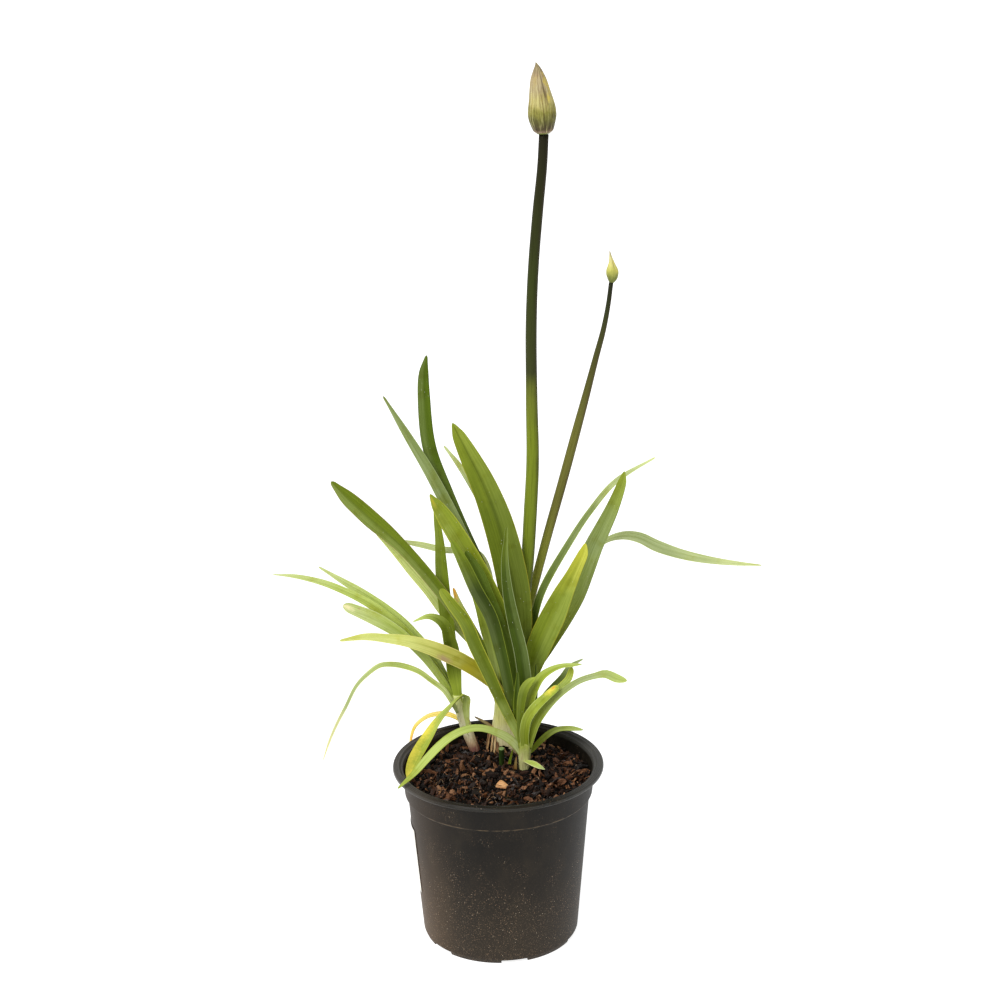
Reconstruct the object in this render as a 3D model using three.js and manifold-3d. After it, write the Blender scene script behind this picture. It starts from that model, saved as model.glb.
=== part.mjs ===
// Agapanthus plant in a 19 cm nursery pot: three leafy shoots and two flower stalks in bud.
// Millimetres, +Z up. The origin is the centre of the pot's underside, on the surface it stands on.
import * as THREE from 'three';
import { mergeVertices } from 'three/addons/utils/BufferGeometryUtils.js';
import Module from 'manifold-3d';

const wasm = await Module();
wasm.setup();

// ---------------------------------------------------------------- driving dimensions

const GAP = 0.3; // clearance between neighbouring pieces
const POT = {
  height: 165,
  rimRadius: 95,
  rimBand: 4.6, // height of the rolled rim
  rimRound: 1.2,
  rimTop: 6, // flat top of the rim
  ledgeDrop: 2, // small ledge inside the rim
  ledgeRun: 1.6,
  shoulderRadius: 87, // collar just under the rim
  collarRadius: 84.8, // lower end of the collar
  bodyRadius: 82.2, // body just under the collar
  baseRadius: 71,
  footRadius: 69.2,
  footWidth: 7.6,
  baseHeight: 4.5, // slanted lower edge
  collarFoot: 138.5, // height where the collar starts
  bodyTop: 136,
  wall: 1.8,
  floor: 5.2,
  recess: 3.2, // height of the hollow under the floor
  recessSlope: 1,
  hubRadius: 22, // flat disc in the middle of the underside
  segments: 48,
  notches: 6, // water notches through the foot ring
  notchWidth: 24,
  notchReach: 24,
  firstNotch: -80, // degrees from +X
  drainRadius: 4,
  drainCircle: 50,
  drainSides: 12,
};
const SOIL = { level: 150.5, mound: 2.2, crumb: 1.7, cells: 24, scatter: 0.3, ceiling: 158, wallGap: 0.5 };
const BLADE = {
  edge: 0.7, // thickness at the margins
  rib: 1.3, // thickness along the middle
  fold: 0.12, // depth of the trough against the width
  straightStep: 30, // longest stretch between sections
  bendStep: 0.23, // radians of bend between sections
  fewest: 5,
  most: 16,
  tipSteps: [0.5, 0.85, 1], // sections that round a blunt tip off
  tipReach: 0.9, // length of the rounding against the blade's last width
  pointed: 3, // a tip narrower than this has no rounding
  fullRib: 3, // half width from which the rib is at its full thickness
};
const STALK_SIDES = 12;
const LABEL = { bottom: 47, top: 110, from: 162, to: 198, step: 6, gap: 0.45, thickness: 0.6 };

const COLOURS = {
  pot: 0x3a3733,
  soil: 0x33231b,
  label: 0xe9e8e2,
  neck: 0xc9c48f,
  sheath: 0xc7a06a,
  deep: 0x4e6a1c,
  mid: 0x6f8a2a,
  fresh: 0x93a83f,
  pale: 0xb4c168,
  yellow: 0xcfc653,
  greyish: 0x86a070,
  stalk: 0x566a1e,
  bud: 0xa79a5a,
  budPale: 0xcfcf78,
  bark: 0xc78a55,
};

// ---------------------------------------------------------------- the grown parts
// Every path runs from the root to the tip as [x, y, z, size]: size is a blade's full width,
// or a stalk's radius. face is the way the upper side looks at the root, tipFace at the tip.

const FRONTWARD = [0, -1, 0.2];
const LEFTWARD = [0.15, -0.85, 0.5];

const MAIN_LEAVES = {
  leaf_main_01: {
    colour: 'deep', face: FRONTWARD, tipFace: [0.1, -1, 0.3], fold: 0.11,
    path: [[11.5, 53.8, 196, 7.5], [14, 54, 220, 14], [19, 53, 261, 25.5], [18, 53, 300, 28.5],
      [12, 54, 338, 28.5], [2.6, 55, 376, 26.8], [-9.5, 56, 410, 22.5], [-21.5, 57, 436, 17.5],
      [-30.5, 57.8, 455, 11.5], [-35.5, 58, 466, 2.8]],
  },
  leaf_main_02: {
    colour: 'mid', face: FRONTWARD, tipFace: [-0.1, -1, 0.25],
    path: [[7, 51.2, 196, 8], [9, 50, 228, 13], [7.8, 48, 263, 19], [-0.9, 46.5, 294, 20.6],
      [-12.6, 46, 324, 19.6], [-27, 46, 353, 18], [-42, 45, 380, 15.5], [-50.5, 45, 394, 10.5],
      [-56.5, 45, 404.5, 2.8]],
  },
  leaf_main_03: {
    colour: 'deep', face: FRONTWARD,
    path: [[13, 48.6, 196, 6.5], [13, 46.5, 229, 10], [8, 43.5, 260, 12], [1, 41.5, 287, 12],
      [-7, 40.5, 310, 11.5], [-15, 40, 332, 10], [-26, 40, 352, 5.5]],
  },
  leaf_main_04: {
    colour: 'fresh', face: LEFTWARD,
    path: [[1, 56.4, 196, 4.5], [0, 56, 211, 8], [-7, 55, 234, 12], [-17, 54, 259, 11], [-26, 52, 280, 9],
      [-33, 51, 296, 7], [-38, 50, 314, 2.5]],
  },
  leaf_main_05: {
    colour: 'pale', face: FRONTWARD,
    path: [[1, 53.8, 196, 4.5], [0, 53, 213, 6.5], [-1, 52.4, 231, 7.5], [-4, 52, 249, 8],
      [-10, 51.5, 272, 8.5], [-16, 51, 296, 6], [-23, 50.5, 315, 2.5]],
  },
  leaf_main_06: {
    colour: 'deep', face: [0, -1, 0.2], tipFace: [0.2, -1, 0.1],
    path: [[1, 64.2, 192, 4.5], [5, 66, 217, 7], [4, 67, 256, 9], [-2, 68, 295, 10], [-12, 69, 324, 11],
      [-24, 69, 351, 12], [-43, 69, 399, 12.5], [-57, 68, 442, 12.4], [-60.5, 67.4, 489, 11.2],
      [-60, 66.6, 510, 8.8], [-57, 65.5, 526, 2.5]],
  },
  leaf_main_07: {
    colour: 'greyish', face: FRONTWARD,
    path: [[1, 61.6, 194, 4.5], [4, 62, 223, 7], [1, 63, 272, 9], [-8, 64, 306, 10], [-18, 64, 333, 11],
      [-39.2, 64, 382, 11.5], [-57.2, 63, 420, 10], [-77.4, 62, 457, 7], [-96, 60, 491, 2]],
  },
  leaf_main_08: {
    colour: 'greyish', face: FRONTWARD,
    path: [[5.5, 70.4, 190, 4.5], [7, 72, 214, 6], [10, 75, 263, 7], [8, 76, 312, 7], [1.6, 76, 351, 6.8],
      [-10.8, 76, 384, 6.2], [-29.6, 75, 420, 5.2], [-44, 73, 441, 2]],
  },
  leaf_main_09: {
    colour: 'pale', face: [0.8, -0.5, 0.3], tipFace: [-0.15, -0.4, 0.9],
    path: [[0.5, 70.3, 190, 3], [2, 74, 214, 5], [1, 78.5, 252, 6.5], [-2, 81, 290, 8], [-6, 82, 320, 8],
      [-14, 81, 334.5, 8], [-27, 80, 339, 8.4], [-46, 79, 340.2, 8.8], [-68, 77, 346.4, 8],
      [-91, 75, 352, 3]],
  },
  leaf_main_10: {
    colour: 'deep', face: LEFTWARD, tipFace: [0.1, -0.8, 0.6],
    path: [[1, 59, 194, 5.5], [-3, 59.5, 216, 8.5], [-13, 59.5, 244, 10], [-28, 58.5, 272, 10.5],
      [-42, 58, 296, 10.8], [-55.5, 57.7, 315.5, 11.4], [-70, 57, 335, 11.7], [-84.5, 56, 353, 12.4],
      [-97, 55.3, 366, 14.8], [-110, 54.5, 378.5, 16.4], [-121, 54, 389.7, 15.6], [-132, 53, 401, 13],
      [-144.5, 52, 415.5, 4.5]],
  },
  leaf_main_11: {
    colour: 'fresh', face: LEFTWARD,
    path: [[2, 66.8, 191, 5.5], [-1, 69, 212, 8], [-12, 71.5, 240, 10], [-29, 73, 263, 12],
      [-45, 73, 282, 13.5], [-60, 72, 305, 13.5], [-75, 69, 325, 12], [-90, 66, 345, 9],
      [-107, 64, 364, 4]],
  },
  leaf_main_12: {
    colour: 'yellow', face: [-0.1, -0.85, 0.5], tipFace: [-0.1, -0.7, 0.7],
    path: [[5, 48.6, 197, 6.5], [2, 47.5, 213, 9], [-10, 45, 229, 13.5], [-31, 41, 246, 14.5],
      [-47, 39, 255, 14.5], [-62, 38, 262, 13], [-80, 37, 268, 11], [-96, 36, 271, 9], [-118, 34, 274, 7],
      [-141, 31, 272, 2.5]],
  },
  leaf_main_13: {
    colour: 'mid', face: [-0.15, -1, 0.2], tipFace: [0.1, -1, 0.2],
    path: [[20, 56.4, 195, 6.5], [24.2, 57, 211, 7.8], [35.2, 57.5, 235, 12.8], [46.2, 57.5, 256, 17],
      [59.5, 57.5, 280, 19.6], [71.5, 57, 303, 19.8], [80.5, 57, 326, 18.8], [88.5, 57, 347.5, 17.3],
      [98, 56, 368, 14.8], [106, 55, 386, 12.3], [114.5, 54, 410, 8], [116.5, 54, 420, 2.5]],
  },
  leaf_main_14: {
    colour: 'fresh', face: [-0.1, -1, 0.2], tipFace: [-0.1, -1, 0.3],
    path: [[19, 51.2, 197, 7], [25, 50.5, 213, 12.5], [34, 49, 243, 20], [42, 47, 265, 23],
      [52, 45, 287.5, 22.6], [61.5, 43, 310, 17.8], [68.5, 41.5, 325, 13.6], [74, 40, 337.5, 11.2],
      [79, 38.8, 349, 9], [81, 38, 358.5, 2.8]],
  },
  leaf_main_15: {
    colour: 'mid', face: [-0.2, -0.95, 0.3], tipFace: [-0.3, -0.6, 0.75],
    path: [[20.5, 59.4, 194, 4.5], [23, 60.5, 217, 6], [28, 61.5, 248, 7], [34, 62.5, 275, 7.5],
      [39.3, 63, 296, 7.5], [46.4, 64, 313, 7.5], [66.2, 66, 347.4, 7], [87, 67, 379.4, 6.6],
      [110, 67, 407, 6], [145, 66, 429, 2]],
  },
  leaf_main_16: {
    colour: 'greyish', face: [-0.8, -0.5, 0.3], tipFace: [0.2, -0.68, 0.7],
    path: [[20, 64.2, 192, 5], [26, 65.5, 212, 6.5], [40, 67, 246, 8], [57, 69, 279, 8.5], [73, 71, 312, 8],
      [86, 73, 333, 5.6], [96, 74, 344.4, 5.2], [105, 74.5, 350, 6.8], [118, 74, 353, 9.4],
      [132, 74, 350.5, 12], [147, 73, 343, 13], [169, 72, 335, 11], [191, 71, 330, 8.5], [219, 70, 326, 5],
      [243, 69, 324, 1.5]],
  },
  leaf_main_17: {
    colour: 'deep', face: FRONTWARD,
    path: [[20.5, 69.5, 190, 3.5], [23.5, 72, 210, 4.6], [29, 73.5, 240, 5.2], [36, 73.5, 280, 2.5]],
  },
  dry_blade: {
    colour: 'sheath', face: [-0.3, -0.8, 0.5], fold: 0.05,
    path: [[-2, 60, 166, 3.5], [-7, 58.5, 174, 3.2], [-14, 56.5, 180, 2.6], [-21.5, 53, 186, 1.5]],
  },
};

const LEFT_LEAVES = {
  leaf_left_01: {
    colour: 'deep', face: FRONTWARD,
    path: [[-35.5, 61.8, 197, 5.2], [-37, 63, 210, 7], [-41, 64, 234, 9], [-43, 64.5, 258, 12],
      [-45.4, 65, 283, 12.4], [-47.6, 66, 307, 12.2], [-49, 67, 330, 11], [-50, 68, 354, 8],
      [-52, 69, 372, 5.5], [-54, 70, 386, 2]],
  },
  leaf_left_02: {
    colour: 'mid', face: [0, -1, 0.1], tipFace: [-0.2, -0.75, 0.65],
    path: [[-35, 51.2, 199, 6.5], [-37, 51.5, 214, 9], [-39.2, 51.5, 233, 13.6], [-40.6, 51, 251, 14.6],
      [-43, 50, 265, 13], [-46, 48, 277, 11.5], [-52, 46, 285, 9], [-61, 44, 289, 5.5],
      [-75, 42, 285, 1.5]],
  },
  leaf_left_03: {
    colour: 'fresh', face: LEFTWARD,
    path: [[-36, 58.9, 198, 5.2], [-42, 59.3, 212, 6], [-50, 60, 228, 7.2], [-59, 61, 245, 8],
      [-72, 61.6, 262, 8], [-85, 62, 277, 8], [-102, 62, 292, 8], [-121, 62, 306, 7.5], [-136, 62, 316, 6],
      [-160, 62, 332, 2]],
  },
  leaf_left_04: {
    colour: 'pale', face: LEFTWARD,
    path: [[-36.5, 56.1, 198, 5], [-43, 56, 212, 6.5], [-55, 56, 232, 7.5], [-69, 56, 252, 8],
      [-83, 56, 270, 8], [-98, 55, 285, 8], [-114, 54, 298, 8], [-130, 53, 308, 7], [-154, 51, 320, 6],
      [-179, 48, 328, 4], [-200, 46, 331, 1]],
  },
  leaf_left_05: {
    colour: 'pale', face: LEFTWARD, tipFace: [0, -0.9, 0.5],
    path: [[-37, 53.5, 198, 5], [-43.5, 53, 211, 6], [-55.5, 52.5, 231, 7], [-68, 52, 249, 8.2],
      [-83, 51, 266, 9.5], [-98, 50, 278, 11.5], [-114, 49, 288, 12], [-138, 47, 300, 9]],
  },
  leaf_left_06: {
    colour: 'pale', face: [0.3, -0.8, 0.5], tipFace: [-0.7, -0.6, 0.3],
    path: [[-36.5, 49.8, 192, 4.2], [-43.2, 47.6, 206, 4.6], [-49, 47.6, 215.4, 5], [-60, 47, 225.2, 5.2],
      [-72, 46.3, 235, 5.4], [-86, 46, 240.6, 5.8], [-96, 44, 243, 5.5], [-106, 42, 243, 5],
      [-116, 40, 237, 4.5], [-128, 38, 225, 4], [-138, 36, 206, 4], [-148, 35, 187, 3.5],
      [-155, 34, 171, 3], [-161, 33, 154, 1]],
  },
  leaf_left_07: {
    colour: 'fresh', face: [0.4, 0.85, 0.2], tipFace: [0.25, -0.9, 0.35],
    path: [[-29.5, 53, 168, 6], [-29.2, 50.4, 184, 7.4], [-28.8, 47.2, 200, 8.4], [-28.2, 45.6, 208.5, 9.8],
      [-30.2, 43.8, 212.2, 11.4], [-36.4, 41.3, 209.2, 11], [-46.2, 38, 199.6, 11.4], [-56, 33, 189, 11.2],
      [-63.5, 26, 179.8, 11.5], [-70.5, 14, 173, 11.5], [-76, 0, 167.8, 10.5], [-79.5, -12, 162.6, 8],
      [-81, -20.5, 157, 2.8]],
  },
  leaf_left_08: {
    colour: 'yellow', face: [0.3, -0.7, 0.6], tipFace: [-0.85, -0.45, 0.2],
    path: [[-31, 60, 175, 3.5], [-36, 62.5, 179.6, 4.2], [-41, 64, 182, 5], [-47, 66, 183.4, 5.6],
      [-56, 68, 182.8, 5.8], [-65, 68, 180.6, 5.6], [-72, 67, 176.4, 5.2], [-77, 65, 172, 5],
      [-80.5, 62, 164, 4.5], [-81.5, 60, 156, 4], [-80.5, 58, 146, 2]],
  },
};

const FRONT_LEAVES = {
  leaf_front_01: {
    colour: 'mid', face: [0, -1, 0.15], tipFace: [0.1, -0.9, 0.4],
    path: [[21.5, 15.5, 169, 4.5], [18.2, 16, 184, 7], [11.3, 17, 199, 8.6], [1, 18.5, 222, 10],
      [-9, 20, 246, 11.6], [-19, 22, 269, 12.2], [-27.6, 24, 291, 11.5], [-39, 26, 307, 9.5],
      [-49, 28, 321, 7]],
  },
  leaf_front_02: {
    colour: 'deep', face: [0, -1, 0.15],
    path: [[21.8, 20.3, 169, 4.5], [18.5, 21, 184, 7.5], [13.6, 22.5, 204, 9], [9.2, 25, 234, 9.8],
      [3, 27, 264, 11.4], [-4.5, 29, 293, 12.2], [-17, 31, 318, 12], [-28, 32, 344, 10], [-38, 34, 364, 6]],
  },
  leaf_front_03: {
    colour: 'deep', face: [0, -1, 0.1], fold: 0.2,
    path: [[24, 23, 171, 5], [25, 24.5, 190, 7.4], [26, 26, 214, 11.3], [25, 28, 234, 12.5],
      [22, 31, 258, 12.5], [16, 34, 286, 11.5], [11, 37, 315, 9.5], [9, 39, 343, 6.5], [11, 41, 374, 2.5]],
  },
  leaf_front_04: {
    colour: 'deep', face: [0, -1, 0.1],
    path: [[21, 18, 173, 3.5], [18, 18.7, 187, 5], [17, 19.3, 207, 5.5], [18, 20, 226, 5],
      [19, 21, 243, 2]],
  },
  leaf_front_05: {
    colour: 'fresh', face: [0, -1, 0.1], tipFace: [0.1, -0.8, 0.6],
    path: [[20.5, 10.5, 173, 4], [20, 9.5, 188, 5.5], [20.5, 8.5, 206, 6.5], [22, 8, 221, 8],
      [25, 7, 233, 8.5], [30, 6, 240, 6.5], [35, 5, 244, 2]],
  },
  leaf_front_06: {
    colour: 'mid', face: [-0.15, -1, 0.1], tipFace: [0.1, -0.5, 0.85],
    path: [[24, 13, 173, 5], [25, 12.3, 188, 8], [25.8, 12, 205, 10.6], [28.6, 11.5, 219.5, 11.8],
      [33, 10.5, 231, 11], [40, 9, 243, 9], [49, 8, 250, 7], [59, 7, 254, 5], [68, 6, 255, 4],
      [76, 5, 256, 1.5]],
  },
  leaf_front_07: {
    colour: 'deep', face: [-0.2, -1, 0.1],
    path: [[28, 18, 172, 3.5], [30, 19, 189, 5.5], [34.5, 19.7, 203.5, 6.2], [41.8, 20, 217.5, 6],
      [50, 20, 227.8, 5.8], [58.6, 21, 237, 5.4], [66, 22, 247, 4.5], [78, 23, 254, 1.5]],
  },
  leaf_front_08: {
    colour: 'fresh', face: [0, -1, 0.1], tipFace: [-0.2, -0.9, 0.4],
    path: [[24.6, 10, 165, 5], [24.3, 7.8, 177, 7.4], [24, 6, 190, 8.7], [27, 4.5, 205, 9],
      [35, 4, 217, 8.5], [44, 4, 226, 7.5], [55, 4, 236, 6.5]],
  },
  leaf_front_09: {
    colour: 'yellow', face: [-0.1, -1, 0.1],
    path: [[28, 15.5, 173, 3.5], [28.5, 15.5, 185, 5], [31, 15.2, 199, 5.5], [37, 14, 212, 5.5],
      [46, 12, 223, 5.5], [56.4, 11, 231.6, 6.2], [64, 10, 240, 6.4], [67.4, 9, 251.4, 5]],
  },
  leaf_front_10: {
    colour: 'mid', face: [-0.15, -1, 0.2], tipFace: [0.1, -0.7, 0.7],
    path: [[28, 9.8, 173, 5], [30.5, 9, 184, 6], [35, 8, 199, 7.5], [42, 7.5, 211, 7.8], [52, 7, 223, 6.8],
      [63, 6, 232.8, 6], [75, 5, 240.6, 5.8], [87.5, 4, 245, 6], [97, 3, 247, 8], [107, 2, 243, 8.5],
      [116, 1, 241, 4]],
  },
  leaf_front_11: {
    colour: 'fresh', face: [-0.3, -0.8, 0.5], tipFace: [0.1, -0.6, 0.8],
    path: [[26, 18, 164, 3], [31, 21, 166, 4], [36, 23, 171, 5], [45, 27, 178, 6], [53, 29, 182, 5.4],
      [61, 30, 183, 5], [69, 30, 182.6, 5], [78, 29, 181.6, 2]],
  },
  leaf_front_12: {
    colour: 'fresh', face: [0, -0.6, 0.8],
    path: [[24, 12, 158.5, 3], [25, 7, 161.5, 4.5], [30, 2, 162, 6.5], [36, -3, 161, 5],
      [42, -8, 160, 1.5]],
  },
  leaf_front_13: {
    colour: 'fresh', face: [0.2, -0.8, 0.6], tipFace: [-0.25, -0.35, 0.9],
    path: [[22, 13, 164, 5.5], [16, 11, 176, 8], [8, 8, 185, 8], [-2, 3, 192.6, 7], [-12, -2, 198.4, 6.6],
      [-22, -7, 201.2, 6.6], [-32, -13, 201.2, 7], [-42, -19, 198.4, 7.6], [-51, -25, 193.4, 8],
      [-62, -32, 184.4, 8.2], [-74, -41.5, 174, 6.8], [-88, -54.5, 166, 2.5]],
  },
  leaf_front_14: {
    colour: 'deep', face: [0, -1, 0.1],
    path: [[29, 21.5, 172, 3], [32, 26.5, 192, 4.2], [34.5, 29.5, 220, 5], [35.5, 31.5, 246, 2]],
  },
};

// Small blades that stand in the soil beside the shoots.
const SOIL_BLADES = {
  young_blade: {
    colour: 'fresh', face: [0, -1, 0.2], fold: 0.05,
    path: [[9, 19.5, 142, 2.4], [10.5, 19.5, 155, 2.6], [13.5, 19, 168, 1.2]],
  },
  dry_scale: {
    colour: 'sheath', face: [0, -1, 0.1], fold: 0.05,
    path: [[16, 9, 145, 3], [15.5, 9, 154, 3.4], [16.5, 9.5, 165, 1.6]],
  },
};

const SCAPES = {
  scape_tall: {
    colour: 'stalk', stations: 15,
    path: [[10.5, 60.5, 188, 4.6], [14, 62.5, 218, 4.8], [20, 65, 257, 5], [25, 66, 291, 5.5],
      [29.3, 67, 330, 5.9], [33, 67, 384, 6], [35.3, 66.6, 430, 5.7], [35, 66, 490, 5.2],
      [35.4, 66, 555, 4.9], [38, 66, 606, 4.7], [42, 66, 650, 4.6], [46.2, 65, 690, 4.3],
      [47.8, 64.3, 716.9, 4.2]],
  },
  scape_short: {
    colour: 'stalk', stations: 14,
    path: [[12.5, 69.4, 184, 3.3], [14.5, 73.5, 209, 3.5], [20.5, 77, 242, 3.7], [28, 78.5, 274, 3.9],
      [38, 78.5, 314, 4.1], [49, 78, 356, 4.2], [60.5, 77, 398, 4.2], [72, 76, 441, 4.1],
      [83.3, 75, 484, 3.5], [92.5, 74, 520, 2.8], [99, 73.3, 545, 2.4], [103.3, 72.8, 568, 2.1],
      [105.6, 72.2, 586.6, 2]],
  },
};
const BUDS = {
  bud_tall: {
    colour: 'bud', stations: 16,
    path: [[47.5, 64.2, 717.6, 5.6], [47.4, 64.2, 720, 8.4], [47.2, 64.2, 723.5, 9.9],
      [46.6, 64.2, 731, 11.9], [46.2, 64.2, 738.5, 11.7], [45.6, 64.2, 746, 10.3], [44.7, 64.1, 753.6, 8.9],
      [43.6, 64, 763.5, 6.7], [42.9, 64, 771, 3.6], [42.2, 64, 775, 1.4], [41.5, 64, 777, 0.4]],
  },
  bud_short: {
    colour: 'budPale', stations: 11,
    path: [[105.8, 72, 587.2, 2.4], [106.2, 72, 589.2, 3.7], [106.6, 72, 591.8, 4.8], [106.6, 72, 595, 5.4],
      [106.4, 72, 598.4, 5], [106.2, 72, 601.6, 3.7], [105.9, 72, 604.8, 2.5], [105.2, 72, 609, 1.4],
      [104.4, 72, 614.5, 0.4]],
  },
};

// A neck is the column of leaf bases of one shoot: [x, y, z, half width in x, half width in y].
const NECKS = {
  neck_main: [[10.5, 60, 136, 15.8, 13.5], [10.5, 60, 150, 16, 13.5], [10.5, 60, 170, 16, 13.5],
    [11, 60, 188, 14.2, 14], [11, 60, 206, 13.6, 14.6]],
  neck_left: [[-18, 58, 136, 4.9, 5.6], [-21.6, 58, 150, 5, 5.8], [-27.3, 58, 166, 5.2, 6.4],
    [-31, 57.5, 179, 5.4, 7], [-34.2, 57, 193, 5.5, 7.4], [-37, 56.5, 208, 5.8, 7.8]],
  neck_front: [[23.5, 14.5, 136, 4.6, 5.2], [23.4, 14.8, 150, 4.6, 5.8], [24, 15.5, 164, 5.6, 7.8],
    [24.6, 16, 177, 6.2, 8.8], [25, 16.5, 187, 4.2, 6.6]],
};
const NECK = { sides: 22, stations: 8, squareness: 2.8 };

// Torn papery sheath round the left and front of the main neck. Its outline runs by
// [degrees from +X, distance from the neck, height of the torn upper edge].
const SHEATH = {
  thickness: 0.8,
  bottom: 146,
  outline: [[168, 1.2, 163], [178, 3.8, 168], [187, 5.6, 165], [196, 5, 171], [207, 2.4, 176],
    [219, 0.8, 169], [231, 0.5, 165], [243, 0.5, 160], [254, 0.5, 157], [264, 0.5, 155]],
};
const STUB = { x: 3.2, y: 19, bottom: 142, top: 169.5, radius: 2.7, footRadius: 2.1, sides: 12 };
const CHIP = {
  x: 4, y: -23.7, z: 151.6, length: 12.5, width: 9, height: 4.8, turn: -8, shoulder: 0.85, crown: 0.35,
  lean: [-1.6, 1.2], // where the crown lies beside the middle of the foot
  outline: [[-0.5, -0.4], [0.3, -0.5], [0.5, -0.2], [0.15, 0.3], [-0.15, 0.5], [-0.4, 0.2]],
};

// ---------------------------------------------------------------- mesh helpers

const group = new THREE.Group();

function material(colour, roughness = 0.6) {
  return new THREE.MeshStandardMaterial({ color: COLOURS[colour], roughness, metalness: 0 });
}

function addPiece(name, geometry, colour, roughness) {
  const mesh = new THREE.Mesh(geometry, material(colour, roughness));
  mesh.name = name;
  group.add(mesh);
}

// Turns the faces outward by the sign of the enclosed volume.
function closedGeometry(points, triangles) {
  let volume = 0;
  const cross = new THREE.Vector3();
  for (const [a, b, c] of triangles) {
    volume += points[a].dot(cross.crossVectors(points[b], points[c]));
  }
  const facing = volume > 0 ? triangles : triangles.map(([a, b, c]) => [a, c, b]);
  const geometry = new THREE.BufferGeometry();
  geometry.setAttribute('position', new THREE.Float32BufferAttribute(points.flatMap((p) => p.toArray()), 3));
  geometry.setIndex(facing.flat());
  return geometry;
}

function toSolid(geometry) {
  const bare = geometry.clone();
  bare.deleteAttribute('normal');
  bare.deleteAttribute('uv');
  const merged = mergeVertices(bare, 1e-4);
  const vertProperties = new Float32Array(merged.attributes.position.array);
  const triVerts = new Uint32Array(merged.index.array);
  return new wasm.Manifold(new wasm.Mesh({ numProp: 3, vertProperties, triVerts }));
}

function toGeometry(solid) {
  const mesh = solid.getMesh();
  const geometry = new THREE.BufferGeometry();
  geometry.setAttribute('position', new THREE.BufferAttribute(mesh.vertProperties, 3));
  geometry.setIndex(new THREE.BufferAttribute(mesh.triVerts, 1));
  return geometry;
}

// The largest body of a solid, so that no loose scrap is left by a cut.
function mainBody(solid) {
  return solid.decompose().sort((a, b) => b.volume() - a.volume())[0];
}

function subtractAll(geometry, cutters) {
  let solid = toSolid(geometry);
  for (const cutter of cutters) {
    solid = solid.subtract(toSolid(cutter));
  }
  return toGeometry(mainBody(solid));
}

// Closes a stack of rings with the same number of points into one body. leaning[k] picks the
// diagonal of the quads that start at point k.
function loft(rings, leaning = []) {
  const size = rings[0].length;
  const points = rings.flat();
  const triangles = [];
  for (let i = 0; i + 1 < rings.length; i += 1) {
    for (let k = 0; k < size; k += 1) {
      const a = i * size + k;
      const b = i * size + ((k + 1) % size);
      const c = b + size;
      const d = a + size;
      if (leaning[k]) {
        triangles.push([a, b, d], [b, c, d]);
      } else {
        triangles.push([a, b, c], [a, c, d]);
      }
    }
  }
  for (const [ring, flip] of [[0, true], [rings.length - 1, false]]) {
    const start = ring * size;
    for (let k = 1; k + 1 < size; k += 1) {
      const far = flip ? [start + k + 1, start + k] : [start + k, start + k + 1];
      triangles.push([start, ...far]);
    }
  }
  return closedGeometry(points, triangles);
}

function pathCurve(path) {
  return new THREE.CatmullRomCurve3(path.map((p) => new THREE.Vector3(p[0], p[1], p[2])));
}

// Points, directions and side vectors along a path, carried without spin and then turned
// evenly so that the upper side looks to `face` at the root and to `tipFace` at the tip.
function frames({ path, face, tipFace = face }, stations) {
  const curve = pathCurve(path);
  const sizes = new THREE.SplineCurve(path.map((p, i) => new THREE.Vector2(i, p[3])));
  const flatten = (v, direction) => v.clone().addScaledVector(direction, -v.dot(direction)).normalize();
  const list = [];
  for (const u of stations) {
    const direction = curve.getTangentAt(u);
    const last = list[list.length - 1];
    const start = last ? last.up : new THREE.Vector3(...face);
    const up = flatten(start, direction);
    const size = sizes.getPoint(curve.getUtoTmapping(u)).y;
    list.push({ point: curve.getPointAt(u), direction, up, size, u });
  }
  const end = list[list.length - 1];
  const wanted = flatten(new THREE.Vector3(...tipFace), end.direction);
  const turn = Math.atan2(wanted.dot(end.direction.clone().cross(end.up)), wanted.dot(end.up));
  for (const frame of list) {
    frame.up.applyAxisAngle(frame.direction, turn * THREE.MathUtils.smoothstep(frame.u, 0, 1));
    frame.side = frame.direction.clone().cross(frame.up);
  }
  return list;
}

// ---------------------------------------------------------------- blades, stalks and necks

// Where along a blade its sections lie: closer together where it bends, with a few that round
// a blunt tip off.
function bladeStations(curve, length, tipLength, tipSteps) {
  const samples = 80;
  const effort = [0];
  for (let i = 1; i <= samples; i += 1) {
    const bend = curve.getTangentAt((i - 1) / samples).angleTo(curve.getTangentAt(i / samples));
    effort.push(effort[i - 1] + length / samples / BLADE.straightStep + bend / BLADE.bendStep);
  }
  const count = THREE.MathUtils.clamp(Math.round(effort[samples]), BLADE.fewest, BLADE.most);
  const tipStart = 1 - tipLength / length;
  const stations = [];
  let i = 0;
  for (let k = 0; k <= count; k += 1) {
    const wanted = (effort[samples] * k) / count;
    while (i + 1 < samples && effort[i + 1] < wanted) {
      i += 1;
    }
    const within = (wanted - effort[i]) / (effort[i + 1] - effort[i]);
    stations.push((tipStart * (i + within)) / samples);
  }
  return [...stations, ...tipSteps.map((step) => tipStart + (1 - tipStart) * step)];
}

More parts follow.
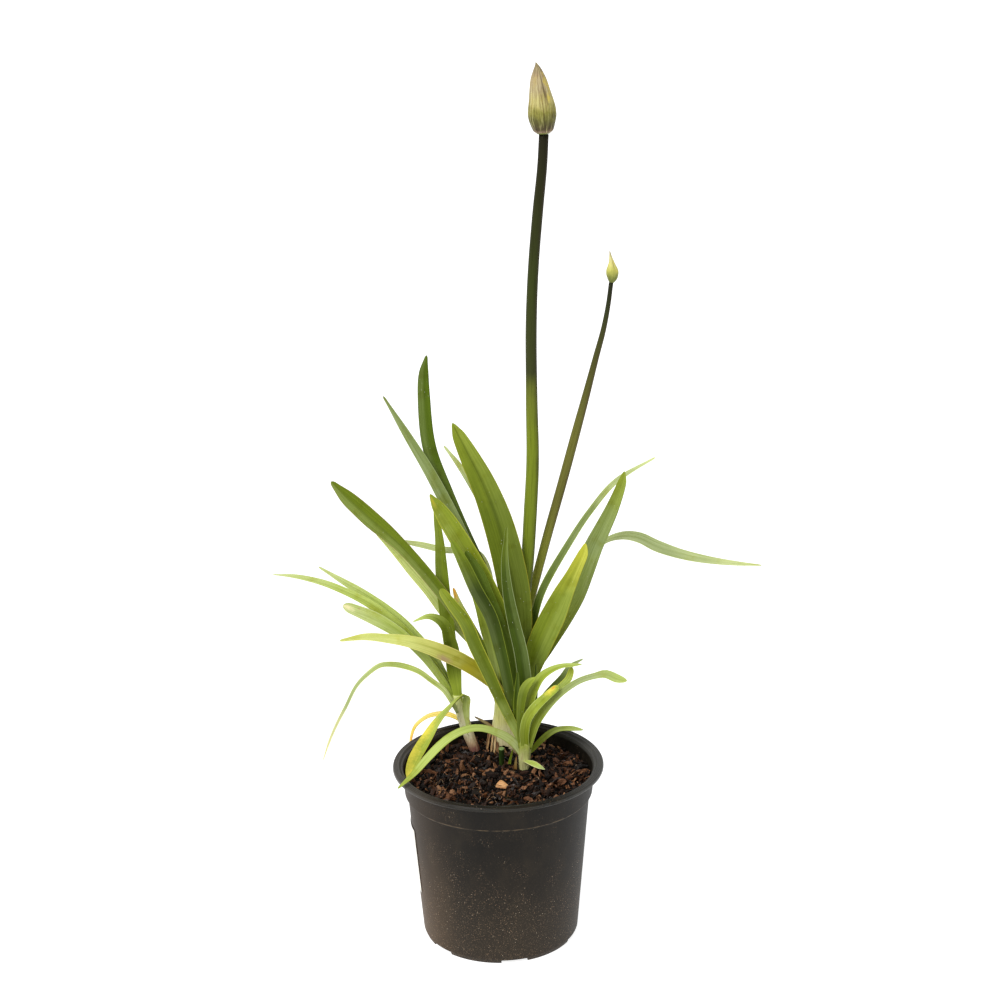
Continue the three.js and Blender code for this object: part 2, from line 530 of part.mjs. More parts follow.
// A strap blade: a shallow trough with two thin edges and a thicker rib, round or pointed at the tip.
function bladeGeometry(leaf, grow = 0) {
  const curve = pathCurve(leaf.path);
  const length = curve.getLength();
  const tipSize = leaf.path[leaf.path.length - 1][3];
  const tipLength = Math.max(BLADE.pointed, tipSize * BLADE.tipReach);
  const tipSteps = tipSize > BLADE.pointed ? BLADE.tipSteps : [1];
  const fold = leaf.fold ?? BLADE.fold;
  const stations = bladeStations(curve, length, tipLength, tipSteps);
  const rings = frames(leaf, stations).map(({ point, direction, up, side, size, u }) => {
    const intoTip = THREE.MathUtils.clamp(1 - (length * (1 - u)) / tipLength, 0, 1);
    const half = Math.max(BLADE.edge / 2, (size / 2) * Math.sqrt(1 - intoTip ** 2)) + grow;
    const depth = fold * half * 2 * THREE.MathUtils.smoothstep(u, 0, 0.3);
    const edge = BLADE.edge / 2 + grow;
    const rib = edge + ((BLADE.rib - BLADE.edge) / 2) * Math.min(1, half / BLADE.fullRib);
    const along = u === 0 ? -grow : 0;
    const at = (s, n) => point.clone().addScaledVector(side, s).addScaledVector(up, n)
      .addScaledVector(direction, along);
    const lift = depth / 3;
    const drop = (-2 * depth) / 3;
    return [at(-half, lift + edge), at(0, drop + rib), at(half, lift + edge),
      at(half, lift - edge), at(0, drop - rib), at(-half, lift - edge)];
  });
  return loft(rings, [false, true, false, false, true, false]);
}

// A round stalk or bud, with the path's sizes as its radii.
function stalkGeometry(stalk, grow = 0) {
  const stations = Array.from({ length: stalk.stations + 1 }, (_, i) => i / stalk.stations);
  const sections = frames({ ...stalk, face: FRONTWARD }, stations);
  const rings = sections.map(({ point, direction, up, side, size, u }) => {
    const along = u === 0 ? -grow : 0;
    return Array.from({ length: STALK_SIDES }, (_, k) => {
      const angle = (2 * Math.PI * k) / STALK_SIDES;
      return point.clone()
        .addScaledVector(side, (size + grow) * Math.cos(angle))
        .addScaledVector(up, (size + grow) * Math.sin(angle))
        .addScaledVector(direction, along);
    });
  });
  return loft(rings);
}

// A point on a neck's outline at height z, in the direction of `degrees` from +X, moved out by `grow`.
function neckPoint(sections, z, degrees, grow = 0) {
  const last = sections.length - 1;
  const centres = new THREE.SplineCurve(sections.map((s) => new THREE.Vector2(s[0], s[1])));
  const halves = new THREE.SplineCurve(sections.map((s) => new THREE.Vector2(s[3], s[4])));
  let i = 0;
  while (i < last - 1 && sections[i + 1][2] < z) {
    i += 1;
  }
  const t = (i + (z - sections[i][2]) / (sections[i + 1][2] - sections[i][2])) / last;
  const centre = centres.getPoint(t);
  const half = halves.getPoint(t);
  const angle = THREE.MathUtils.degToRad(degrees);
  const power = 2 / NECK.squareness;
  const x = Math.sign(Math.cos(angle)) * Math.abs(Math.cos(angle)) ** power;
  const y = Math.sign(Math.sin(angle)) * Math.abs(Math.sin(angle)) ** power;
  return new THREE.Vector3(centre.x + x * (half.x + grow), centre.y + y * (half.y + grow), z);
}

function neckGeometry(sections, grow = 0) {
  const bottom = sections[0][2] - grow;
  const top = sections[sections.length - 1][2] + grow;
  const rings = [];
  for (let i = 0; i <= NECK.stations; i += 1) {
    const z = THREE.MathUtils.lerp(bottom, top, i / NECK.stations);
    const inside = THREE.MathUtils.clamp(z, sections[0][2], sections[sections.length - 1][2]);
    rings.push(Array.from({ length: NECK.sides }, (_, k) => (
      neckPoint(sections, inside, (360 * k) / NECK.sides, grow).setZ(z))));
  }
  return loft(rings);
}

function addShoot(neckName, leaves, stalks = {}) {
  const cutters = [];
  for (const [name, leaf] of Object.entries(leaves)) {
    addPiece(name, bladeGeometry(leaf), leaf.colour);
    cutters.push(bladeGeometry(leaf, GAP));
  }
  for (const stalk of Object.values(stalks)) {
    cutters.push(stalkGeometry(stalk, GAP));
  }
  addPiece(neckName, subtractAll(neckGeometry(NECKS[neckName]), cutters), 'neck');
}

function sheathGeometry(grow = 0) {
  const { thickness, bottom, outline } = SHEATH;
  const endTurn = 6 * grow; // degrees that widen the two ends by about `grow`
  const rings = outline.map(([degrees, distance, top], i) => {
    const turn = degrees + (i === 0 ? -endTurn : 0) + (i === outline.length - 1 ? endTurn : 0);
    const near = distance - grow;
    const far = distance + thickness + grow;
    const at = (z, out) => neckPoint(NECKS.neck_main, z, turn, out);
    return [at(bottom - grow, near), at(bottom - grow, far), at(top + grow, far), at(top + grow, near)];
  });
  return loft(rings, [false, false, false, true]);
}

// The stump of a cut stalk, a little wider at the top.
function stubGeometry(grow = 0) {
  const height = STUB.top - STUB.bottom + grow;
  const geometry = new THREE.CylinderGeometry(STUB.radius + grow, STUB.footRadius + grow, height, STUB.sides);
  geometry.rotateX(Math.PI / 2);
  geometry.translate(STUB.x, STUB.y, STUB.bottom - grow + height / 2);
  return geometry;
}

// ---------------------------------------------------------------- pot, soil, label and chip

function latheGeometry(profile) {
  const points = profile.map(([radius, z]) => new THREE.Vector2(radius, z));
  return new THREE.LatheGeometry(points, POT.segments).rotateX(Math.PI / 2);
}

// Inner outline of the pot's wall, from the floor up to the ledge under the rim.
const POT_INSIDE = [
  [POT.footRadius - POT.wall, POT.floor],
  [POT.baseRadius - POT.wall, POT.floor + 2],
  [POT.bodyRadius - POT.wall, POT.bodyTop + 0.5],
  [POT.collarRadius - POT.wall, POT.collarFoot + 0.5],
  [POT.shoulderRadius - POT.wall, POT.height - POT.rimBand],
];

function innerRadius(z) {
  for (let i = 0; i + 1 < POT_INSIDE.length; i += 1) {
    const [r0, z0] = POT_INSIDE[i];
    const [r1, z1] = POT_INSIDE[i + 1];
    if (z <= z1) {
      return THREE.MathUtils.lerp(r0, r1, (z - z0) / (z1 - z0));
    }
  }
  return POT.shoulderRadius - POT.wall;
}

function addPot() {
  const { height, rimRadius, rimBand, rimRound, rimTop, ledgeDrop, ledgeRun, hubRadius, footRadius } = POT;
  const { recess, recessSlope, footWidth } = POT;
  const ledgeRadius = rimRadius - rimTop - recessSlope;
  const profile = [
    [0, 0], [hubRadius, 0], [hubRadius + recessSlope, recess],
    [footRadius - footWidth - recessSlope, recess], [footRadius - footWidth, 0], [footRadius, 0],
    [POT.baseRadius, POT.baseHeight], [POT.bodyRadius, POT.bodyTop], [POT.collarRadius, POT.collarFoot],
    [POT.shoulderRadius, height - rimBand], [rimRadius - rimRound, height - rimBand],
    [rimRadius, height - rimBand + rimRound], [rimRadius, height - rimRound], [rimRadius - rimRound, height],
    [rimRadius - rimTop, height], [ledgeRadius, height - ledgeDrop],
    [ledgeRadius - ledgeRun, height - ledgeDrop],
    ...POT_INSIDE.slice().reverse(), [0, POT.floor],
  ];
  const cutters = [];
  for (let i = 0; i < POT.notches; i += 1) {
    const angle = THREE.MathUtils.degToRad(POT.firstNotch + (360 / POT.notches) * i);
    const notch = new THREE.BoxGeometry(POT.notchReach, POT.notchWidth, 2 * recess);
    notch.translate(footRadius, 0, 0).rotateZ(angle);
    const drain = new THREE.CylinderGeometry(POT.drainRadius, POT.drainRadius, 2 * POT.floor, POT.drainSides);
    drain.rotateX(Math.PI / 2).translate(POT.drainCircle, 0, POT.floor).rotateZ(angle);
    cutters.push(notch, drain);
  }
  addPiece('pot', subtractAll(latheGeometry(profile), cutters), 'pot', 0.55);
}

// A repeatable number from -1 to 1 for a cell of the soil's surface.
function scatter(column, row) {
  const wave = Math.sin(column * 12.9898 + row * 78.233) * 43758.5453;
  return 2 * (wave - Math.floor(wave)) - 1;
}

// A block whose top is the crumbled surface of the potting mix.
function soilBlock() {
  const size = 2 * POT.rimRadius;
  const cell = size / SOIL.cells;
  const geometry = new THREE.BoxGeometry(size, size, SOIL.ceiling, SOIL.cells, SOIL.cells, 1);
  geometry.translate(0, 0, SOIL.ceiling / 2);
  const places = geometry.attributes.position;
  for (let i = 0; i < places.count; i += 1) {
    if (places.getZ(i) > SOIL.ceiling / 2) {
      const column = Math.round(places.getX(i) / cell);
      const row = Math.round(places.getY(i) / cell);
      const x = cell * (column + SOIL.scatter * scatter(column, row));
      const y = cell * (row + SOIL.scatter * scatter(row + SOIL.cells, column));
      const inward = 1 - (x * x + y * y) / innerRadius(SOIL.level) ** 2;
      const mound = SOIL.mound * Math.max(0, inward);
      const height = SOIL.level + mound + SOIL.crumb * scatter(column, row + SOIL.cells);
      places.setXYZ(i, x, y, height);
    }
  }
  return geometry;
}

// Potting mix: a plug that fills the pot, with a crumbled surface and a hole for each thing in it.
function addSoil(cutters) {
  const bottom = POT.floor + GAP;
  const wall = POT_INSIDE.filter(([, z]) => z < SOIL.ceiling)
    .map(([radius, z]) => [radius - SOIL.wallGap, Math.max(z, bottom)]);
  const topRadius = innerRadius(SOIL.ceiling) - SOIL.wallGap;
  const plug = latheGeometry([[0, bottom], ...wall, [topRadius, SOIL.ceiling], [0, SOIL.ceiling]]);
  const filled = toGeometry(toSolid(plug).intersect(toSolid(soilBlock())));
  addPiece('soil', subtractAll(filled, cutters), 'soil', 0.95);
}

// Blank adhesive label wrapped on the left side of the pot's wall.
function addLabel() {
  const { baseHeight, bodyTop, baseRadius, bodyRadius } = POT;
  const wallRadius = (z) => THREE.MathUtils.mapLinear(z, baseHeight, bodyTop, baseRadius, bodyRadius);
  const rings = [];
  for (let degrees = LABEL.from; degrees <= LABEL.to; degrees += LABEL.step) {
    const angle = THREE.MathUtils.degToRad(degrees);
    const at = (z, out) => new THREE.Vector3(
      (wallRadius(z) + out) * Math.cos(angle), (wallRadius(z) + out) * Math.sin(angle), z);
    const near = LABEL.gap;
    const far = LABEL.gap + LABEL.thickness;
    rings.push([at(LABEL.bottom, near), at(LABEL.bottom, far), at(LABEL.top, far), at(LABEL.top, near)]);
  }
  addPiece('label', loft(rings), 'label', 0.5);
}

// A pale chip of bark, bedded in the top of the soil.
function chipGeometry(grow = 0) {
  const { x, y, z, length, width, height, turn, shoulder, crown, lean, outline } = CHIP;
  const ring = (level, spread) => outline.map(([along, across]) => new THREE.Vector3(
    along * (length * spread + 2 * grow) + (lean[0] * level) / height,
    across * (width * spread + 2 * grow) + (lean[1] * level) / height, level));
  const geometry = loft([ring(-grow, 1), ring(height / 2, shoulder), ring(height + grow, crown)]);
  return geometry.rotateZ(THREE.MathUtils.degToRad(turn)).translate(x, y, z);
}

// ---------------------------------------------------------------- assembly

addPot();
addLabel();
addShoot('neck_main', MAIN_LEAVES, SCAPES);
addShoot('neck_left', LEFT_LEAVES);
addShoot('neck_front', FRONT_LEAVES);
for (const [name, stalk] of Object.entries({ ...SCAPES, ...BUDS })) {
  addPiece(name, stalkGeometry(stalk), stalk.colour);
}
for (const [name, blade] of Object.entries(SOIL_BLADES)) {
  addPiece(name, bladeGeometry(blade), blade.colour);
}
addPiece('papery_sheath', sheathGeometry(), 'sheath', 0.8);
addPiece('cut_stub', stubGeometry(), 'mid');
addPiece('bark_chip', chipGeometry(), 'bark', 0.9);
addSoil([
  ...Object.values(NECKS).map((sections) => neckGeometry(sections, GAP)),
  ...Object.values(SOIL_BLADES).map((blade) => bladeGeometry(blade, GAP)),
  sheathGeometry(2 * GAP),
  stubGeometry(GAP),
  chipGeometry(2 * GAP),
]);

export default group;
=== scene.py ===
import math

import bmesh
import bpy
import numpy as np
from mathutils import Matrix, Vector, noise


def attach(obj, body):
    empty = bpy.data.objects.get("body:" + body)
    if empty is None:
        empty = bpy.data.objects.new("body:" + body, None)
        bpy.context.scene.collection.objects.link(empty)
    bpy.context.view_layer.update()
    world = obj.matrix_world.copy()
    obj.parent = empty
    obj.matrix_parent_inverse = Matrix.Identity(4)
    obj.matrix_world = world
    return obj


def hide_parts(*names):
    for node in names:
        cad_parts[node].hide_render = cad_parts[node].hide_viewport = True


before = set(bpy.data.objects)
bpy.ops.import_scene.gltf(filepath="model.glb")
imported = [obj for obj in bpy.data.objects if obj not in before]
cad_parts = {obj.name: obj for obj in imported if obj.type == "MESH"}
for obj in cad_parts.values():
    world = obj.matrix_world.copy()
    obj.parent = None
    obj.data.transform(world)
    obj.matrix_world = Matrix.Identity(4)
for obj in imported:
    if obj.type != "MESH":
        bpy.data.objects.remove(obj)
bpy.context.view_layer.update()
MM = 0.001
SEED = 7

# ---------------------------------------------------------------- node materials


def rgba(colour):
    """'#rrggbb' as the linear colour that Blender's sockets take."""
    channels = [int(colour[i:i + 2], 16) / 255 for i in (1, 3, 5)]
    linear = [c / 12.92 if c <= 0.04045 else ((c + 0.055) / 1.055) ** 2.4 for c in channels]
    return (*linear, 1)


class Value:
    """What a node puts out. Sums, differences and products of values are nodes as well."""

    def __init__(self, shader, socket):
        self.shader = shader
        self.socket = socket

    def __add__(self, other):
        return self.shader.math("ADD", self, other)

    def __sub__(self, other):
        return self.shader.math("SUBTRACT", self, other)

    def __rsub__(self, other):
        return self.shader.math("SUBTRACT", other, self)

    def __mul__(self, other):
        return self.shader.math("MULTIPLY", self, other)

    def __abs__(self):
        return self.shader.math("ABSOLUTE", self)

    def between(self, low, high):
        """0 below low and 1 above high, with a smooth step; low may be the larger of the two."""
        return self.shader.value("MapRange", {0: self, 1: low, 2: high}, interpolation_type="SMOOTHSTEP")


class Shader:
    """A Principled material that is built by short calls; `base` is its colour so far."""

    def __init__(self, name, roughness=0.5, specular=0.2):
        self.material = bpy.data.materials.new(name)
        self.material.use_nodes = True
        self.tree = self.material.node_tree
        self.surface = self.tree.nodes["Principled BSDF"].inputs
        self.surface["Roughness"].default_value = roughness
        self.surface["Specular IOR Level"].default_value = specular

    def feed(self, socket, value):
        if isinstance(value, Value):
            self.tree.links.new(value.socket, socket)
        else:
            socket.default_value = rgba(value) if isinstance(value, str) else value

    def node(self, kind, inputs, **settings):
        made = self.tree.nodes.new("ShaderNode" + kind)
        for key, value in settings.items():
            setattr(made, key, value)
        for key, value in inputs.items():
            self.feed(made.inputs[key], value)
        return made

    def value(self, kind, inputs, output=0, **settings):
        return Value(self, self.node(kind, inputs, **settings).outputs[output])

    def place(self, x=1, y=1, z=1):
        """Position on the object in millimetres, stretched along each axis."""
        inputs = {0: self.value("TexCoord", {}, "Object"), 1: (x / MM, y / MM, z / MM)}
        return self.value("VectorMath", inputs, operation="MULTIPLY")

    def split(self, vector):
        return [Value(self, part) for part in self.node("SeparateXYZ", {0: vector}).outputs]

    def strip(self, name="strip"):
        """The piece's own map, (across, along) from 0 to 1, or the pair of values in its map `marks`."""
        return self.split(self.value("UVMap", {}, uv_map=name))[:2]

    def vector(self, x, y, z=0.0):
        return self.value("CombineXYZ", {0: x, 1: y, 2: z})

    def length(self, vector):
        return self.value("VectorMath", {0: vector}, "Value", operation="LENGTH")

    def math(self, operation, a, b=0.0):
        return self.value("Math", {0: a, 1: b}, operation=operation)

    def mix(self, factor, a, b, blend="MIX"):
        return self.value("Mix", {0: factor, 6: a, 7: b}, 2, data_type="RGBA", blend_type=blend)

    def noise(self, scale, vector=None, detail=2.0, roughness=0.5):
        """Noise around 0.5, by the place on the object when no vector is given."""
        inputs = {"Vector": vector or self.place(), "Scale": scale, "Detail": detail, "Roughness": roughness}
        return self.value("TexNoise", inputs)

    def cells(self, scale, vector):
        """How far the nearest of many scattered points is."""
        return self.value("TexVoronoi", {"Vector": vector, "Scale": scale})

    def ramp(self, factor, stops):
        made = self.node("ValToRGB", {0: factor})
        ramp = made.color_ramp
        ramp.elements[0].position = stops[0][0]
        ramp.elements[-1].position = stops[-1][0]
        for position, _ in stops[1:-1]:
            ramp.elements.new(position)
        for element, (_, colour) in zip(ramp.elements, stops):
            element.color = rgba(colour)
        return Value(self, made.outputs[0])

    def coat(self, factor, colour):
        """Lays a colour over the base where the factor is 1."""
        self.base = self.mix(factor, self.base, colour)

    def tint(self, factor, tint):
        """Multiplies a tint into the base where the factor is 1."""
        self.coat(factor, self.mix(1.0, self.base, tint, "MULTIPLY"))

    def rough(self, value, low, high):
        self.feed(self.surface["Roughness"], self.value("MapRange", {0: value, 3: low, 4: high}))

    def finish(self, height, distance):
        """Links the base, and relief from a height between 0 and 1 that is `distance` millimetres deep."""
        relief = {"Height": height, "Distance": distance * MM, "Strength": 1.0}
        self.feed(self.surface["Base Color"], self.base)
        self.feed(self.surface["Normal"], self.value("Bump", relief))
        return self.material


# ---------------------------------------------------------------- camera, light and floor

CAMERA = {"place": (5.5, -1631.5, 925), "pitch": 17.45, "roll": -0.94, "lens": 71.2, "sensor": 36}
WORLD_STRENGTH = 0.6
SUN = {"from": (-0.6, -0.75, 1.0), "strength": 2.2, "spread": 30}
FLOOR = {"size": 60, "glow": 0.85, "shade": "#bcbcbc"}


def add_camera():
    camera = bpy.data.objects.new("camera", bpy.data.cameras.new("camera"))
    camera.data.sensor_width = CAMERA["sensor"]
    camera.data.lens = CAMERA["lens"]
    tilt = Matrix.Rotation(math.radians(90 - CAMERA["pitch"]), 4, "X")
    roll = Matrix.Rotation(math.radians(CAMERA["roll"]), 4, "Z")
    camera.matrix_world = Matrix.Translation(Vector(CAMERA["place"]) * MM) @ tilt @ roll
    bpy.context.scene.collection.objects.link(camera)
    bpy.context.scene.camera = camera


def add_studio():
    scene = bpy.context.scene
    scene.view_settings.view_transform = "Standard"
    world = bpy.data.worlds.new("studio")
    world.use_nodes = True
    background = world.node_tree.nodes["Background"]
    background.inputs["Color"].default_value = (1, 1, 1, 1)
    background.inputs["Strength"].default_value = WORLD_STRENGTH
    scene.world = world
    lamp = bpy.data.lights.new("soft_sun", "SUN")
    lamp.energy = SUN["strength"]
    lamp.angle = math.radians(SUN["spread"])
    sun = bpy.data.objects.new("soft_sun", lamp)
    sun.rotation_euler = (-Vector(SUN["from"])).to_track_quat("-Z", "Y").to_euler()
    scene.collection.objects.link(sun)
    bpy.ops.mesh.primitive_plane_add(size=FLOOR["size"])
    floor = bpy.context.object
    floor.name = "floor"
    shader = Shader("floor_paint", roughness=0.9, specular=0)
    paper = shader.mix(shader.noise(0.01), "#ffffff", "#fcfcfc")
    shader.feed(shader.surface["Base Color"], shader.mix(1.0, paper, FLOOR["shade"], "MULTIPLY"))
    shader.feed(shader.surface["Emission Color"], paper)
    shader.feed(shader.surface["Emission Strength"], FLOOR["glow"])
    floor.data.materials.append(shader.material)


# ---------------------------------------------------------------- curves and meshes

FRONTWARD = [0, -1, 0.2]
LEFTWARD = [0.15, -0.85, 0.5]
PER_SPAN = 24  # points of a curve between two points of its path


def hermite(p1, p2, m1, m2, t):
    return p1 + m1 * t + (3 * (p2 - p1) - 2 * m1 - m2) * t**2 + (2 * (p1 - p2) + m1 + m2) * t**3


def curve_points(points):
    """Points of a centripetal Catmull-Rom curve, the same number on each span."""
    points = [np.array(p, float) for p in points]
    points = [2 * points[0] - points[1], *points, 2 * points[-1] - points[-2]]
    made = []
    for p0, p1, p2, p3 in zip(points, points[1:], points[2:], points[3:]):
        d0, d1, d2 = (np.sqrt(np.linalg.norm(b - a)) for a, b in ((p0, p1), (p1, p2), (p2, p3)))
        m1 = ((p1 - p0) / d0 - (p2 - p0) / (d0 + d1) + (p2 - p1) / d1) * d1
        m2 = ((p2 - p1) / d1 - (p3 - p1) / (d1 + d2) + (p3 - p2) / d2) * d1
        made += [hermite(p1, p2, m1, m2, k / PER_SPAN) for k in range(PER_SPAN)]
    return np.array([*made, points[-2]])


def held_spline(values, t):
    """An even Catmull-Rom curve with held ends, at t from 0 to the last index."""
    values = np.array(values, float)
    i = min(int(t), len(values) - 2)
    s0, s1, s2, s3 = (values[min(max(k, 0), len(values) - 1)] for k in (i - 1, i, i + 1, i + 2))
    return hermite(s1, s2, (s2 - s0) / 2, (s3 - s1) / 2, t - i)


def smoothstep(value, low, high):
    t = np.clip((value - low) / (high - low), 0, 1)
    return t * t * (3 - 2 * t)


def unit(vector):
    return vector / np.linalg.norm(vector)


def circle(count):
    """Angles once around."""
    return np.linspace(0, 2 * math.pi, count, endpoint=False)


def lathe_ring(angles, radius, z, x=0, y=0):
    """Points around a vertical axis through (x, y), at the height z or at one for each."""
    heights = np.full(len(angles), z)
    return np.column_stack([x + radius * np.cos(angles), y + radius * np.sin(angles), heights])


class Sweep:
    """Sections along a path of [x, y, z, size]: points, directions and two side vectors, carried without
    spin and turned evenly from `face` at the root to `tip_face` at the tip, as in the CAD model."""

    def __init__(self, path, shares=(0, 1), face=FRONTWARD, tip_face=None):
        dense = curve_points([p[:3] for p in path])
        sizes = [held_spline([p[3] for p in path], k / PER_SPAN) for k in range(len(dense))]
        run = np.concatenate([[0], np.cumsum(np.linalg.norm(np.diff(dense, axis=0), axis=1))])
        self.length = run[-1]
        at = np.array(shares) * self.length
        self.points = np.stack([np.interp(at, run, dense[:, k]) for k in range(3)], 1)
        self.sizes = np.interp(at, run, sizes)
        step = np.stack([np.interp(at, run, np.gradient(dense[:, k], run)) for k in range(3)], 1)
        along = step / np.linalg.norm(step, axis=1)[:, None]
        up = np.array(face, float)
        ups = []
        for direction in along:
            up = unit(up - direction * up.dot(direction))
            ups.append(up)
        last = along[-1]
        wanted = np.array(tip_face or face, float)
        wanted = unit(wanted - last * wanted.dot(last))
        turn = math.atan2(wanted.dot(np.cross(last, ups[-1])), wanted.dot(ups[-1]))
        self.up = []
        for share, direction, up in zip(shares, along, ups):
            angle = turn * float(smoothstep(share, 0, 1))
            self.up.append(up * math.cos(angle) + np.cross(direction, up) * math.sin(angle))
        self.side = np.cross(along, self.up)

    def at(self, i, side, up):
        """Points beside section i, `side` and `up` being arrays of offsets."""
        return self.points[i] + np.outer(side, self.side[i]) + np.outer(up, self.up[i])

    def ring(self, i, angles, radius):
        return self.at(i, radius * np.cos(angles), radius * np.sin(angles))


def ring_faces(rings, size):
    """Quads between rings of `size` points, and a lid on each end."""
    faces = []
    for i in range(rings - 1):
        for k in range(size):
            a, b = i * size + k, i * size + (k + 1) % size
            faces.append((a, b, b + size, a + size))
    faces.append(tuple(reversed(range(size))))
    faces.append(tuple(range((rings - 1) * size, rings * size)))
    return faces


def round_strip(sides, along):
    """One ring's pairs, whose first value runs out and back, so that the pattern has no seam."""
    return [(1 - abs(2 * k / sides - 1), along) for k in range(sides)]


class Body:
    """A mesh in millimetres that grows by closed bodies. Each of its maps holds a pair for each point."""

    def __init__(self):
        self.points = []
        self.faces = []
        self.maps = {"strip": [], "marks": []}

    def add(self, points, faces, strip=(), marks=()):
        start = len(self.points)
        self.points += list(points)
        self.faces += [tuple(i + start for i in face) for face in faces]
        self.maps["strip"] += strip
        self.maps["marks"] += marks

    def add_rings(self, rings, strip=(), marks=()):
        self.add(np.concatenate(rings), ring_faces(len(rings), len(rings[0])), strip, marks)

    def make(self, name, material, replaces=(), smooth=True):
        mesh = bpy.data.meshes.new(name)
        mesh.from_pydata((np.array(self.points) * MM).tolist(), [], self.faces)
        corners = np.zeros(len(mesh.loops), np.int32)
        mesh.loops.foreach_get("vertex_index", corners)
        for map_name, pairs in self.maps.items():
            if pairs:
                layer = mesh.uv_layers.new(name=map_name)
                layer.data.foreach_set("uv", np.array(pairs, np.float32)[corners].ravel())
        mesh.polygons.foreach_set("use_smooth", [smooth] * len(mesh.polygons))
        mesh.materials.append(material)
        mesh.update()
        piece = bpy.data.objects.new(name, mesh)
        bpy.context.scene.collection.objects.link(piece)
        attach(piece, "root")
        if replaces:
            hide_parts(replaces)
        return piece


def add_rings(name, rings, material, replaces, strip=(), marks=()):
    body = Body()
    body.add_rings(rings, strip, marks)
    return body.make(name, material, replaces)
